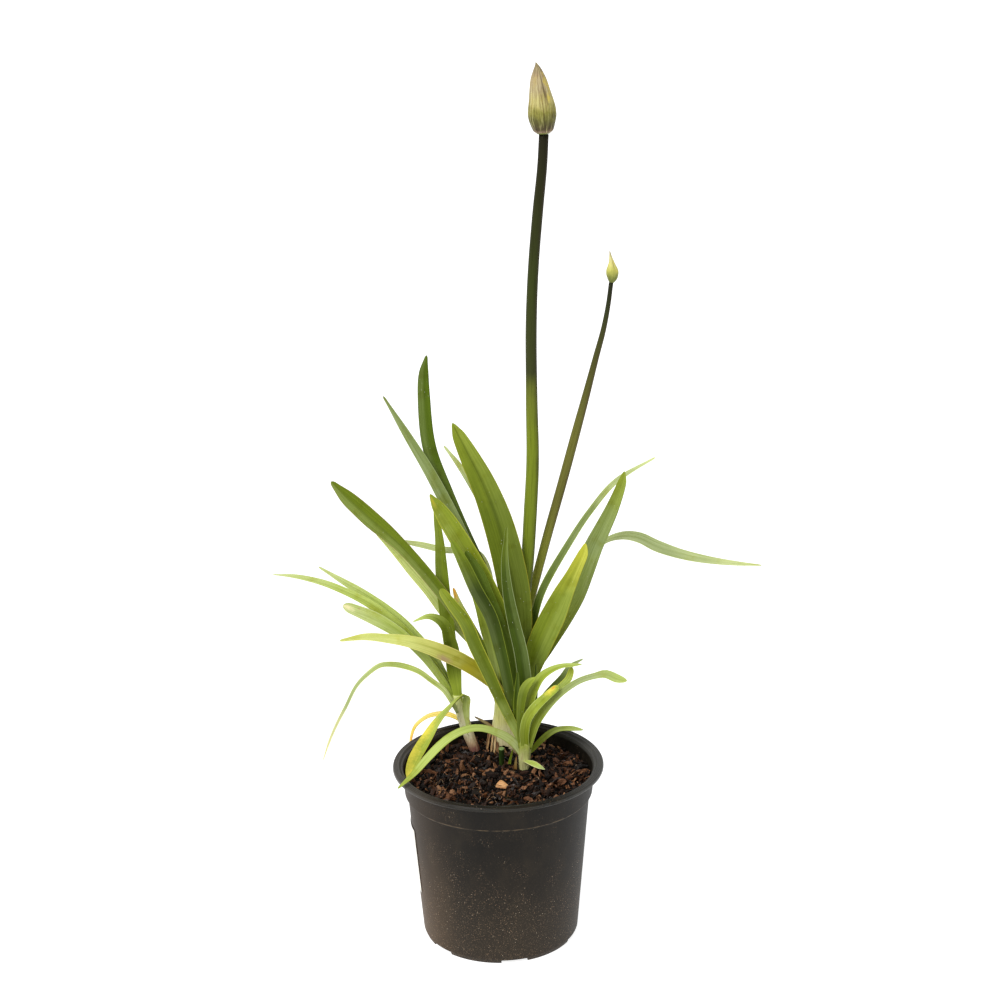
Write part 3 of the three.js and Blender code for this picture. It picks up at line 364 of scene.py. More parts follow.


# ---------------------------------------------------------------- tables of the grown parts
# Paths run from root to tip as [x, y, z, size]: the full width of a blade, or the radius of a stalk.
# `tones` are a blade's colours from root to tip, `margin` the tone of its fine edge line, `light` how
# strongly its right half (above 0) or left half (below 0) gets a painted highlight while the other half gets
# painted shade,
# `groove` how dark the painted shade along its middle line is, `fold` the depth of its trough against its
# width, and `spots` a list of (tone, place along, place across, reach).
# Stalks, buds and necks have their tones as (share of the length, colour). A stalk's `blush` is the colour
# of its right side, away from the light, which is partly a purple-brown flush and partly painted shade, and
# how strong it is; a bud's `brown` and `lit` are how strong its dark and its pale streaks are; a neck's
# sections are
# [x, y, z, half its width, half its depth].

PALETTE = {
    "deep": "#33400c", "forest": "#435510", "green": "#54680f", "olive": "#647219", "fresh": "#768622",
    "moss": "#89962e", "lime": "#a3b243", "pale": "#bbca70", "milky": "#d3dc9e", "glow": "#ecf5a0",
    "slate": "#6b7b42", "sage": "#84925c", "mist": "#a2ae7c", "gold": "#a39a26", "lemon": "#cbc844",
    "honey": "#e2d552", "butter": "#dade88", "straw": "#e4d57e", "sun": "#ffe282", "cream": "#ece3ae",
    "parchment": "#c9b88e", "husk": "#a48d64", "amber": "#e0942c", "rust": "#8a5a30", "peat": "#4c3b20",
}
PLAIN_BLADE = {"face": FRONTWARD, "tip_face": None, "fold": 0.12, "margin": "moss", "light": 0.2,
               "groove": 0.15, "spots": [], "slot": "leaf"}
MAIN_LEAVES = {
  1: dict(tones="olive olive olive moss", margin="gold", groove=0.5, tip_face=[0.1, -1, 0.3], fold=0.11,
    path=[[11.5, 53.8, 196, 7.5], [14, 54, 220, 14], [19, 53, 261, 25.5], [18, 53, 300, 28.5],
      [12, 54, 338, 28.5], [2.6, 55, 376, 26.8], [-9.5, 56, 410, 22.5], [-21.5, 57, 436, 17.5],
      [-30.5, 57.8, 455, 11.5], [-35.5, 58, 466, 2.8]]),
  2: dict(tones="green fresh moss moss", margin="lemon", light=-0.4, tip_face=[-0.1, -1, 0.25],
    spots=[("gold", 0.97, 0.3, 7)],
    path=[[7, 51.2, 196, 8], [9, 50, 228, 13], [7.8, 48, 263, 19], [-0.9, 46.5, 294, 20.6],
      [-12.6, 46, 324, 19.6], [-27, 46, 353, 18], [-42, 45, 380, 15.5], [-50.5, 45, 394, 10.5],
      [-56.5, 45, 404.5, 2.8]]),
  3: dict(tones="forest green green green", margin="olive",
    path=[[13, 48.6, 196, 6.5], [13, 46.5, 229, 10], [8, 43.5, 260, 12], [1, 41.5, 287, 12],
      [-7, 40.5, 310, 11.5], [-15, 40, 332, 10], [-26, 40, 352, 5.5]]),
  4: dict(tones="green green fresh butter", margin="gold", face=LEFTWARD, spots=[("amber", 1.0, 0.5, 12)],
    path=[[1, 56.4, 196, 4.5], [0, 56, 211, 8], [-7, 55, 234, 12], [-17, 54, 259, 11], [-26, 52, 280, 9],
      [-33, 51, 296, 7], [-38, 50, 314, 2.5]]),
  5: dict(tones="moss pale moss lime",
    path=[[1, 53.8, 196, 4.5], [0, 53, 213, 6.5], [-1, 52.4, 231, 7.5], [-4, 52, 249, 8],
      [-10, 51.5, 272, 8.5], [-16, 51, 296, 6], [-23, 50.5, 315, 2.5]]),
  6: dict(tones="green sage green green", margin="forest", light=-0.5, tip_face=[0.2, -1, 0.1],
    path=[[1, 64.2, 192, 4.5], [5, 66, 217, 7], [4, 67, 256, 9], [-2, 68, 295, 10], [-12, 69, 324, 11],
      [-24, 69, 351, 12], [-43, 69, 399, 12.5], [-57, 68, 442, 12.4], [-60.5, 67.4, 489, 11.2],
      [-60, 66.6, 510, 8.8], [-57, 65.5, 526, 2.5]]),
  7: dict(tones="green mist sage sage", margin="mist", light=-0.5,
    path=[[1, 61.6, 194, 4.5], [4, 62, 223, 7], [1, 63, 272, 9], [-8, 64, 306, 10], [-18, 64, 333, 11],
      [-39.2, 64, 382, 11.5], [-57.2, 63, 420, 10], [-77.4, 62, 457, 7], [-96, 60, 491, 2]]),
  8: dict(tones="slate slate mist milky", margin="mist",
    path=[[5.5, 70.4, 190, 4.5], [7, 72, 214, 6], [10, 75, 263, 7], [8, 76, 312, 7], [1.6, 76, 351, 6.8],
      [-10.8, 76, 384, 6.2], [-29.6, 75, 420, 5.2], [-44, 73, 441, 2]]),
  9: dict(tones="moss milky milky milky", margin="pale", face=[0.8, -0.5, 0.3], tip_face=[-0.15, -0.4, 0.9],
    path=[[0.5, 70.3, 190, 3], [2, 74, 214, 5], [1, 78.5, 252, 6.5], [-2, 81, 290, 8], [-6, 82, 320, 8],
      [-14, 81, 334.5, 8], [-27, 80, 339, 8.4], [-46, 79, 340.2, 8.8], [-68, 77, 346.4, 8],
      [-91, 75, 352, 3]]),
  10: dict(tones="moss fresh fresh fresh", margin="husk", light=-0.8, groove=0.3, face=LEFTWARD,
    tip_face=[0.1, -0.8, 0.6],
    path=[[1, 59, 194, 5.5], [-3, 59.5, 216, 8.5], [-13, 59.5, 244, 10], [-28, 58.5, 272, 10.5],
      [-42, 58, 296, 10.8], [-55.5, 57.7, 315.5, 11.4], [-70, 57, 335, 11.7], [-84.5, 56, 353, 12.4],
      [-97, 55.3, 366, 14.8], [-110, 54.5, 378.5, 16.4], [-121, 54, 389.7, 15.6], [-132, 53, 401, 13],
      [-144.5, 52, 415.5, 4.5]]),
  11: dict(tones="olive milky glow glow", margin="lemon", face=LEFTWARD,
    path=[[2, 66.8, 191, 5.5], [-1, 69, 212, 8], [-12, 71.5, 240, 10], [-29, 73, 263, 12],
      [-45, 73, 282, 13.5], [-60, 72, 305, 13.5], [-75, 69, 325, 12], [-90, 66, 345, 9], [-107, 64, 364, 4]]),
  12: dict(tones="gold gold butter butter", margin="straw", light=-0.3, face=[-0.1, -0.85, 0.5],
    tip_face=[-0.1, -0.7, 0.7], spots=[("husk", 0.45, 0.15, 7), ("gold", 0.3, 0.2, 9)],
    path=[[5, 48.6, 197, 6.5], [2, 47.5, 213, 9], [-10, 45, 229, 13.5], [-31, 41, 246, 14.5],
      [-47, 39, 255, 14.5], [-62, 38, 262, 13], [-80, 37, 268, 11], [-96, 36, 271, 9], [-118, 34, 274, 7],
      [-141, 31, 272, 2.5]]),
  13: dict(tones="moss moss sage moss", margin="olive", face=[-0.15, -1, 0.2], tip_face=[0.1, -1, 0.2],
    path=[[20, 56.4, 195, 6.5], [24.2, 57, 211, 7.8], [35.2, 57.5, 235, 12.8], [46.2, 57.5, 256, 17],
      [59.5, 57.5, 280, 19.6], [71.5, 57, 303, 19.8], [80.5, 57, 326, 18.8], [88.5, 57, 347.5, 17.3],
      [98, 56, 368, 14.8], [106, 55, 386, 12.3], [114.5, 54, 410, 8], [116.5, 54, 420, 2.5]]),
  14: dict(tones="olive fresh moss lemon", margin="gold", light=0.4, face=[-0.1, -1, 0.2],
    tip_face=[-0.1, -1, 0.3], spots=[("rust", 0.83, 0.25, 0.6)],
    path=[[19, 51.2, 197, 7], [25, 50.5, 213, 12.5], [34, 49, 243, 20], [42, 47, 265, 23],
      [52, 45, 287.5, 22.6], [61.5, 43, 310, 17.8], [68.5, 41.5, 325, 13.6], [74, 40, 337.5, 11.2],
      [79, 38.8, 349, 9], [81, 38, 358.5, 2.8]]),
  15: dict(tones="pale green sage milky", margin="pale", face=[-0.2, -0.95, 0.3],
    tip_face=[-0.3, -0.6, 0.75],
    path=[[20.5, 59.4, 194, 4.5], [23, 60.5, 217, 6], [28, 61.5, 248, 7], [34, 62.5, 275, 7.5],
      [39.3, 63, 296, 7.5], [46.4, 64, 313, 7.5], [66.2, 66, 347.4, 7], [87, 67, 379.4, 6.6],
      [110, 67, 407, 6], [145, 66, 429, 2]]),
  16: dict(tones="mist milky mist milky", margin="milky", face=[-0.8, -0.5, 0.3],
    tip_face=[0.2, -0.68, 0.7],
    path=[[20, 64.2, 192, 5], [26, 65.5, 212, 6.5], [40, 67, 246, 8], [57, 69, 279, 8.5], [73, 71, 312, 8],
      [86, 73, 333, 5.6], [96, 74, 344.4, 5.2], [105, 74.5, 350, 6.8], [118, 74, 353, 9.4],
      [132, 74, 350.5, 12], [147, 73, 343, 13], [169, 72, 335, 11], [191, 71, 330, 8.5], [219, 70, 326, 5],
      [243, 69, 324, 1.5]]),
  17: dict(tones="deep forest deep deep",
    path=[[20.5, 69.5, 190, 3.5], [23.5, 72, 210, 4.6], [29, 73.5, 240, 5.2], [36, 73.5, 280, 2.5]]),
}
LEFT_LEAVES = {
  1: dict(tones="moss fresh fresh moss", light=-0.3,
    path=[[-35.5, 61.8, 197, 5.2], [-37, 63, 210, 7], [-41, 64, 234, 9], [-43, 64.5, 258, 12],
      [-45.4, 65, 283, 12.4], [-47.6, 66, 307, 12.2], [-49, 67, 330, 11], [-50, 68, 354, 8],
      [-52, 69, 372, 5.5], [-54, 70, 386, 2]]),
  2: dict(tones="lime fresh fresh pale", margin="lime", light=0.05, face=[0, -1, 0.1],
    tip_face=[-0.2, -0.75, 0.65],
    path=[[-35, 51.2, 199, 6.5], [-37, 51.5, 214, 9], [-39.2, 51.5, 233, 13.6], [-40.6, 51, 251, 14.6],
      [-43, 50, 265, 13], [-46, 48, 277, 11.5], [-52, 46, 285, 9], [-61, 44, 289, 5.5], [-75, 42, 285, 1.5]]),
  3: dict(tones="green pale pale milky", margin="pale", face=LEFTWARD,
    path=[[-36, 58.9, 198, 5.2], [-42, 59.3, 212, 6], [-50, 60, 228, 7.2], [-59, 61, 245, 8],
      [-72, 61.6, 262, 8], [-85, 62, 277, 8], [-102, 62, 292, 8], [-121, 62, 306, 7.5], [-136, 62, 316, 6],
      [-160, 62, 332, 2]]),
  4: dict(tones="moss lime pale milky", margin="pale", face=LEFTWARD,
    path=[[-36.5, 56.1, 198, 5], [-43, 56, 212, 6.5], [-55, 56, 232, 7.5], [-69, 56, 252, 8],
      [-83, 56, 270, 8], [-98, 55, 285, 8], [-114, 54, 298, 8], [-130, 53, 308, 7], [-154, 51, 320, 6],
      [-179, 48, 328, 4], [-200, 46, 331, 1]]),
  5: dict(tones="lime pale pale milky", margin="milky", light=-0.7, face=LEFTWARD, tip_face=[0, -0.9, 0.5],
    spots=[("husk", 0.9, 0.75, 1.6), ("cream", 0.97, 0.5, 7)],
    path=[[-37, 53.5, 198, 5], [-43.5, 53, 211, 6], [-55.5, 52.5, 231, 7], [-68, 52, 249, 8.2],
      [-83, 51, 266, 9.5], [-98, 50, 278, 11.5], [-114, 49, 288, 12], [-138, 47, 300, 9]]),
  6: dict(tones="milky pale mist cream", margin="cream", face=[0.3, -0.8, 0.5], tip_face=[-0.7, -0.6, 0.3],
    path=[[-36.5, 49.8, 192, 4.2], [-43.2, 47.6, 206, 4.6], [-49, 47.6, 215.4, 5], [-60, 47, 225.2, 5.2],
      [-72, 46.3, 235, 5.4], [-86, 46, 240.6, 5.8], [-96, 44, 243, 5.5], [-106, 42, 243, 5],
      [-116, 40, 237, 4.5], [-128, 38, 225, 4], [-138, 36, 206, 4], [-148, 35, 187, 3.5],
      [-155, 34, 171, 3], [-161, 33, 154, 1]]),
  7: dict(tones="glow pale lime lime", margin="lemon", light=-0.2, face=[0.4, 0.85, 0.2],
    tip_face=[0.25, -0.9, 0.35],
    spots=[("honey", 0.62, 1.0, 14), ("honey", 0.8, 1.0, 16), ("honey", 0.97, 0.6, 16)],
    path=[[-29.5, 53, 168, 6], [-29.2, 50.4, 184, 7.4], [-28.8, 47.2, 200, 8.4], [-28.2, 45.6, 208.5, 9.8],
      [-30.2, 43.8, 212.2, 11.4], [-36.4, 41.3, 209.2, 11], [-46.2, 38, 199.6, 11.4], [-56, 33, 189, 11.2],
      [-63.5, 26, 179.8, 11.5], [-70.5, 14, 173, 11.5], [-76, 0, 167.8, 10.5], [-79.5, -12, 162.6, 8],
      [-81, -20.5, 157, 2.8]]),
  8: dict(tones="sun sun sun sun", margin="gold", face=[0.3, -0.7, 0.6], tip_face=[-0.85, -0.45, 0.2],
    spots=[("amber", 0.97, 0.5, 9), ("amber", 0.8, 0.2, 5)],
    path=[[-31, 60, 175, 3.5], [-36, 62.5, 179.6, 4.2], [-41, 64, 182, 5], [-47, 66, 183.4, 5.6],
      [-56, 68, 182.8, 5.8], [-65, 68, 180.6, 5.6], [-72, 67, 176.4, 5.2], [-77, 65, 172, 5],
      [-80.5, 62, 164, 4.5], [-81.5, 60, 156, 4], [-80.5, 58, 146, 2]]),
}
FRONT_LEAVES = {
  1: dict(tones="pale olive olive moss", margin="lemon", light=-0.3, face=[0, -1, 0.15],
    tip_face=[0.1, -0.9, 0.4],
    path=[[21.5, 15.5, 169, 4.5], [18.2, 16, 184, 7], [11.3, 17, 199, 8.6], [1, 18.5, 222, 10],
      [-9, 20, 246, 11.6], [-19, 22, 269, 12.2], [-27.6, 24, 291, 11.5], [-39, 26, 307, 9.5],
      [-49, 28, 321, 7]]),
  2: dict(tones="fresh forest deep fresh", light=-0.4, face=[0, -1, 0.15],
    path=[[21.8, 20.3, 169, 4.5], [18.5, 21, 184, 7.5], [13.6, 22.5, 204, 9], [9.2, 25, 234, 9.8],
      [3, 27, 264, 11.4], [-4.5, 29, 293, 12.2], [-17, 31, 318, 12], [-28, 32, 344, 10], [-38, 34, 364, 6]]),
  3: dict(tones="forest forest forest olive", margin="mist", light=0.4, groove=0.4, face=[0, -1, 0.1],
    fold=0.2,
    path=[[24, 23, 171, 5], [25, 24.5, 190, 7.4], [26, 26, 214, 11.3], [25, 28, 234, 12.5],
      [22, 31, 258, 12.5], [16, 34, 286, 11.5], [11, 37, 315, 9.5], [9, 39, 343, 6.5], [11, 41, 374, 2.5]]),
  4: dict(tones="moss olive forest forest", face=[0, -1, 0.1],
    path=[[21, 18, 173, 3.5], [18, 18.7, 187, 5], [17, 19.3, 207, 5.5], [18, 20, 226, 5], [19, 21, 243, 2]]),
  5: dict(tones="moss olive olive lime", light=-0.3, face=[0, -1, 0.1], tip_face=[0.1, -0.8, 0.6],
    path=[[20.5, 10.5, 173, 4], [20, 9.5, 188, 5.5], [20.5, 8.5, 206, 6.5], [22, 8, 221, 8],
      [25, 7, 233, 8.5], [30, 6, 240, 6.5], [35, 5, 244, 2]]),
  6: dict(tones="lime moss lime pale", margin="pale", light=-0.5, face=[-0.15, -1, 0.1],
    tip_face=[0.1, -0.5, 0.85],
    path=[[24, 13, 173, 5], [25, 12.3, 188, 8], [25.8, 12, 205, 10.6], [28.6, 11.5, 219.5, 11.8],
      [33, 10.5, 231, 11], [40, 9, 243, 9], [49, 8, 250, 7], [59, 7, 254, 5], [68, 6, 255, 4],
      [76, 5, 256, 1.5]]),
  7: dict(tones="moss olive slate mist", margin="mist", face=[-0.2, -1, 0.1],
    path=[[28, 18, 172, 3.5], [30, 19, 189, 5.5], [34.5, 19.7, 203.5, 6.2], [41.8, 20, 217.5, 6],
      [50, 20, 227.8, 5.8], [58.6, 21, 237, 5.4], [66, 22, 247, 4.5], [78, 23, 254, 1.5]]),
  8: dict(tones="moss moss lime lime", margin="pale", light=-0.3, face=[0, -1, 0.1],
    tip_face=[-0.2, -0.9, 0.4], spots=[("honey", 0.9, 0.3, 7), ("amber", 0.94, 0.25, 2.4)],
    path=[[24.6, 10, 165, 5], [24.3, 7.8, 177, 7.4], [24, 6, 190, 8.7], [27, 4.5, 205, 9],
      [35, 4, 217, 8.5], [44, 4, 226, 7.5], [55, 4, 236, 6.5]]),
  9: dict(tones="moss pale pale lime", margin="lemon", face=[-0.1, -1, 0.1],
    path=[[28, 15.5, 173, 3.5], [28.5, 15.5, 185, 5], [31, 15.2, 199, 5.5], [37, 14, 212, 5.5],
      [46, 12, 223, 5.5], [56.4, 11, 231.6, 6.2], [64, 10, 240, 6.4], [67.4, 9, 251.4, 5]]),
  10: dict(tones="moss moss mist pale", margin="pale", light=0.3, face=[-0.15, -1, 0.2],
    tip_face=[0.1, -0.7, 0.7],
    path=[[28, 9.8, 173, 5], [30.5, 9, 184, 6], [35, 8, 199, 7.5], [42, 7.5, 211, 7.8], [52, 7, 223, 6.8],
      [63, 6, 232.8, 6], [75, 5, 240.6, 5.8], [87.5, 4, 245, 6], [97, 3, 247, 8], [107, 2, 243, 8.5],
      [116, 1, 241, 4]]),
  11: dict(tones="moss moss pale pale", face=[-0.3, -0.8, 0.5], tip_face=[0.1, -0.6, 0.8],
    path=[[26, 18, 164, 3], [31, 21, 166, 4], [36, 23, 171, 5], [45, 27, 178, 6], [53, 29, 182, 5.4],
      [61, 30, 183, 5], [69, 30, 182.6, 5], [78, 29, 181.6, 2]]),
  12: dict(tones="pale pale pale mist", margin="cream", face=[0, -0.6, 0.8],
    path=[[24, 12, 158.5, 3], [25, 7, 161.5, 4.5], [30, 2, 162, 6.5], [36, -3, 161, 5], [42, -8, 160, 1.5]]),
  13: dict(tones="milky pale pale lime", light=-0.2, groove=0, face=[0.2, -0.8, 0.6],
    tip_face=[-0.25, -0.35, 0.9],
    path=[[22, 13, 164, 5.5], [16, 11, 176, 8], [8, 8, 185, 8], [-2, 3, 192.6, 7], [-12, -2, 198.4, 6.6],
      [-22, -7, 201.2, 6.6], [-32, -13, 201.2, 7], [-42, -19, 198.4, 7.6], [-51, -25, 193.4, 8],
      [-62, -32, 184.4, 8.2], [-74, -41.5, 174, 6.8], [-88, -54.5, 166, 2.5]]),
  14: dict(tones="green forest forest deep", face=[0, -1, 0.1],
    path=[[29, 21.5, 172, 3], [32, 26.5, 192, 4.2], [34.5, 29.5, 220, 5], [35.5, 31.5, 246, 2]]),
}


def numbered(name, things):
    return {f"{name}_{number:02d}": thing for number, thing in things.items()}


BLADES = {
  **numbered("leaf_main", MAIN_LEAVES),
  "dry_blade": dict(tones="husk husk parchment husk", margin="rust", face=[-0.3, -0.8, 0.5], fold=0.05,
    slot="dry_sheath",
    path=[[-2, 60, 166, 3.5], [-7, 58.5, 174, 3.2], [-14, 56.5, 180, 2.6], [-21.5, 53, 186, 1.5]]),
  **numbered("leaf_left", LEFT_LEAVES),
  **numbered("leaf_front", FRONT_LEAVES),
  "young_blade": dict(tones="olive fresh fresh moss", fold=0.05,
    path=[[9, 19.5, 142, 2.4], [10.5, 19.5, 155, 2.6], [13.5, 19, 168, 1.2]]),
  "dry_scale": dict(tones="peat rust husk rust", margin="peat", face=[0, -1, 0.1], fold=0.05,
    slot="dry_sheath",
    path=[[16, 9, 145, 3], [15.5, 9, 154, 3.4], [16.5, 9.5, 165, 1.6]]),
}
SCAPES = {
  "scape_tall": dict(tones=[(0, "#707e24"), (0.2, "#68761e"), (0.5, "#6d7a1c"), (0.57, "#646c22"),
    (0.62, "#363a19"), (0.76, "#323a12"), (0.9, "#28290f"), (1, "#1f1c0d")],
    blush=("#2c200f", 0.55),
    path=[[10.5, 60.5, 188, 4.6], [14, 62.5, 218, 4.8], [20, 65, 257, 5], [25, 66, 291, 5.5],
      [29.3, 67, 330, 5.9], [33, 67, 384, 6], [35.3, 66.6, 430, 5.7], [35, 66, 490, 5.2],
      [35.4, 66, 555, 4.9], [38, 66, 606, 4.7], [42, 66, 650, 4.6], [46.2, 65, 690, 4.3],
      [47.8, 64.3, 716.9, 4.2]]),
  "scape_short": dict(tones=[(0, "#9aa43c"), (0.3, "#8c9034"), (0.5, "#62602a"), (0.65, "#66652c"),
    (0.8, "#4d4c22"), (0.93, "#30341a"), (1, "#222512")],
    blush=("#4a3420", 0.6),
    path=[[12.5, 69.4, 184, 3.3], [14.5, 73.5, 209, 3.5], [20.5, 77, 242, 3.7], [28, 78.5, 274, 3.9],
      [38, 78.5, 314, 4.1], [49, 78, 356, 4.2], [60.5, 77, 398, 4.2], [72, 76, 441, 4.1],
      [83.3, 75, 484, 3.5], [92.5, 74, 520, 2.8], [99, 73.3, 545, 2.4], [103.3, 72.8, 568, 2.1],
      [105.6, 72.2, 586.6, 2]]),
}
BUDS = {
  # The paler tones round the middle of bud_tall's height are its own colour with a painted highlight in them.
  "bud_tall": dict(tones=[(0, "#6c7a30"), (0.03, "#86705a"), (0.07, "#4c4226"), (0.18, "#5a5824"),
    (0.32, "#84803a"), (0.47, "#b4aa6c"), (0.65, "#b0a27a"), (0.85, "#a8946e"), (1, "#6a6246")],
    brown=0.7, lit=0.45,
    path=[[47.5, 64.2, 717.6, 5.6], [47.4, 64.2, 720, 8.4], [47.2, 64.2, 723.5, 9.9],
      [46.6, 64.2, 731, 11.9], [46.2, 64.2, 738.5, 11.7], [45.6, 64.2, 746, 10.3],
      [44.7, 64.1, 753.6, 8.9], [43.6, 64, 763.5, 6.7], [42.9, 64, 771, 3.6], [42.2, 64, 775, 1.4],
      [41.5, 64, 777, 0.4]]),
  "bud_short": dict(tones=[(0, "#5e662a"), (0.2, "#7c8238"), (0.42, "#bcba5c"), (0.6, "#d2cc78"),
    (0.8, "#d0c888"), (1, "#9c8f68")],
    brown=0.25, lit=0.2,
    path=[[105.8, 72, 587.2, 2.4], [106.2, 72, 589.2, 3.7], [106.6, 72, 591.8, 4.8], [106.6, 72, 595, 5.4],
      [106.4, 72, 598.4, 5], [106.2, 72, 601.6, 3.7], [105.9, 72, 604.8, 2.5], [105.2, 72, 609, 1.4],
      [104.4, 72, 614.5, 0.4]]),
}
NECKS = {
  "neck_main": dict(tones=[(0, "#6a4c40"), (0.16, "#9c8064"), (0.26, "#cdbc90"), (0.45, "#d8d2a0"),
    (0.7, "#cfcc82"), (1, "#9cac4c")],
    sections=[[10.5, 60, 136, 15.8, 13.5], [10.5, 60, 150, 16, 13.5], [10.5, 60, 170, 16, 13.5],
      [11, 60, 188, 14.2, 14], [11, 60, 206, 13.6, 14.6]]),
  "neck_left": dict(tones=[(0, "#5c3a3a"), (0.2, "#936458"), (0.34, "#d2b48e"), (0.48, "#fdf6cc"),
    (0.75, "#fdfcc4"), (1, "#dae28c")],
    sections=[[-18, 58, 136, 4.9, 5.6], [-21.6, 58, 150, 5, 5.8], [-27.3, 58, 166, 5.2, 6.4],
      [-31, 57.5, 179, 5.4, 7], [-34.2, 57, 193, 5.5, 7.4], [-37, 56.5, 208, 5.8, 7.8]]),
  "neck_front": dict(tones=[(0, "#8c8a5c"), (0.3, "#b8b87c"), (0.5, "#cccb8c"), (0.75, "#a0aa4c"),
    (1, "#84942f")],
    sections=[[23.5, 14.5, 136, 4.6, 5.2], [23.4, 14.8, 150, 4.6, 5.8], [24, 15.5, 164, 5.6, 7.8],
      [24.6, 16, 177, 6.2, 8.8], [25, 16.5, 187, 4.2, 6.6]]),
}

# ---------------------------------------------------------------- blades

BLADE = {
    "edge": 0.5,  # thickness near the margins
    "rib": 1.3,  # thickness along the middle
    "across": 15,  # points over one side
    "step": 3.2,  # distance between sections
    "sections": 18,  # the least number of them
    "tip": 0.9,  # length of the rounded tip against the width there
    "tip_sections": 8,
    "groove": (0.22, 0.09),  # depth, and width against the half width
    "wave": 0.35,  # how far the margins wave
    "wave_length": 34,
    "margin": (0.75, 0.3),  # where the edge line fades in and is full, in from the edge
}


def blade_material(name, leaf, length, width):
    shader = Shader(name, roughness=0.42, specular=0.1)
    across, along = shader.strip()
    tones = [PALETTE[tone] for tone in leaf["tones"].split()]
    wander = shader.noise(0.04) * 0.24 - 0.12
    shader.base = shader.ramp(along + wander, list(zip((0, 0.3, 0.7, 1), tones)))
    # One half of the blade gets a painted highlight (paler, toward mist) and the other half painted shade
    # (the tint).
    lit = across.between(0.36, 0.66) if leaf["light"] > 0 else across.between(0.64, 0.34)
    strength = abs(leaf["light"])
    shader.coat(lit * (0.75 * strength), shader.mix(0.4, shader.base, PALETTE["mist"]))
    shader.tint((1.0 - lit) * (0.6 * strength), "#c4ca94")
    streaks = shader.vector(across * width, along * (length * 0.02))
    streaks = shader.noise(0.9, streaks, detail=3, roughness=0.6)
    shader.tint(streaks.between(0.62, 0.35) * 0.7, "#d6dcb4")
    off_middle = abs(across - 0.5)
    # Painted shade: the middle line along the groove is tinted darker.
    shader.tint(off_middle.between(0.13, 0.0) * leaf["groove"], "#99a25c")
    shader.tint(shader.noise(0.07, detail=4).between(0.5, 0.75), "#eae6b8")
    for tone, place_along, place_across, reach in leaf["spots"]:
        off = shader.vector((across - place_across) * (2 * width), (along - place_along) * length)
        ragged = shader.noise(0.4, detail=3) * reach + shader.length(off)
        shader.coat(ragged.between(reach * 2.0, reach * 0.5), PALETTE[tone])
    fade, full = (0.5 - inset / width for inset in BLADE["margin"])
    shader.coat(off_middle.between(fade, full) * 0.6, PALETTE[leaf["margin"]])
    flecks = shader.cells(0.42, shader.vector(across * width, along * (length * 0.4))).between(0.11, 0.04)
    shader.coat(flecks * shader.noise(0.07).between(0.52, 0.6) * 0.55, "#e4e8d2")
    shader.rough(streaks, 0.36, 0.52)
    return shader.finish(streaks, 0.07)


def blade_shares(length, tip_length):
    """The shares of a blade's length that have a section, closer in its tip, and where the tip starts."""
    body = 1 - tip_length / length
    count = max(BLADE["sections"], round(length / BLADE["step"]))
    into_tip = np.sin(np.linspace(0, math.pi / 2, BLADE["tip_sections"] + 1))[1:]
    return [*np.linspace(0, body, count), *(body + (1 - body) * into_tip)], body


def add_blade(name, leaf):
    leaf = {**PLAIN_BLADE, **leaf}
    path = leaf["path"]
    shares, body = blade_shares(Sweep(path).length, max(3, path[-1][3] * BLADE["tip"]))
    sweep = Sweep(path, shares, leaf["face"], leaf["tip_face"])
    upper = np.sin(np.linspace(-math.pi / 2, math.pi / 2, BLADE["across"]))
    across = np.concatenate([upper, upper[-2:0:-1]])
    facing = np.concatenate([np.ones(len(upper)), -np.ones(len(upper) - 2)])
    groove_depth, groove_width = BLADE["groove"]
    phase = sum(map(ord, name)) % 17
    rings, strip = [], []
    for i, share in enumerate(shares):
        into_tip = max(0, (share - body) / (1 - body))
        half = max(0.12, sweep.sizes[i] / 2 * math.sqrt(1 - into_tip**2))
        depth = leaf["fold"] * half * 2 * smoothstep(share, 0, 0.3)
        thick = BLADE["edge"] / 2 * np.sqrt(1 - across**8)
        thick = thick + (BLADE["rib"] - BLADE["edge"]) / 2 * min(1, half / 3) * (1 - across**2)
        place = share * sweep.length / BLADE["wave_length"]
        wave = noise.noise((place, phase, 0)) * across + noise.noise((place, phase, 9)) * across**2
        lift = depth * (across**2 - 2 / 3) + BLADE["wave"] * wave * min(1, half / 4)
        groove = groove_depth * min(1, half / 5) * np.exp(-((across / groove_width) ** 2))
        rings.append(sweep.at(i, half * across, lift + facing * thick - groove))
        strip += [((a + 1) / 2, share) for a in across]
    material = blade_material(name, leaf, sweep.length, max(p[3] for p in path))
    add_rings(name + "_blade", rings, material, name, strip)


# ---------------------------------------------------------------- stalks and buds

STALK = {"sides": 28, "step": 4.5, "ripple": 0.03}
BUD = {
    "sides": 96,
    "sections": 110,
    "ribs": 17,
    "rib": 0.014,
    "swell": 0.03,
    "opens": (0.42, 0.6),  # the shares of the height over which the seam starts
    "seam": (0.05, 0.07),  # depth against the radius, and width in radians
    "lap": 0.035,  # how far one bract lies over the other
    "lap_ends": (1.9, 1.4),
}


def stalk_material(name, stalk, length):
    shader = Shader(name, roughness=0.45, specular=0.1)
    across, along = shader.strip()
    shader.base = shader.ramp(along + (shader.noise(0.03) * 0.06 - 0.03), stalk["tones"])
    streaks = shader.vector(across * 16, along * (length * 0.02))
    streaks = shader.noise(1.2, streaks, detail=3, roughness=0.6)
    shader.tint(streaks.between(0.45, 0.8), "#c4c698")
    blush, strength = stalk["blush"]
    patchy = shader.noise(0.05, detail=3) * 0.4 - 0.2
    # The right side, away from the light, is darkened: partly a purple-brown flush, partly painted shade.
    shader.coat((across + patchy).between(0.42, 0.08) * strength, blush)
    shader.rough(streaks, 0.38, 0.6)
    return shader.finish(streaks, 0.1)


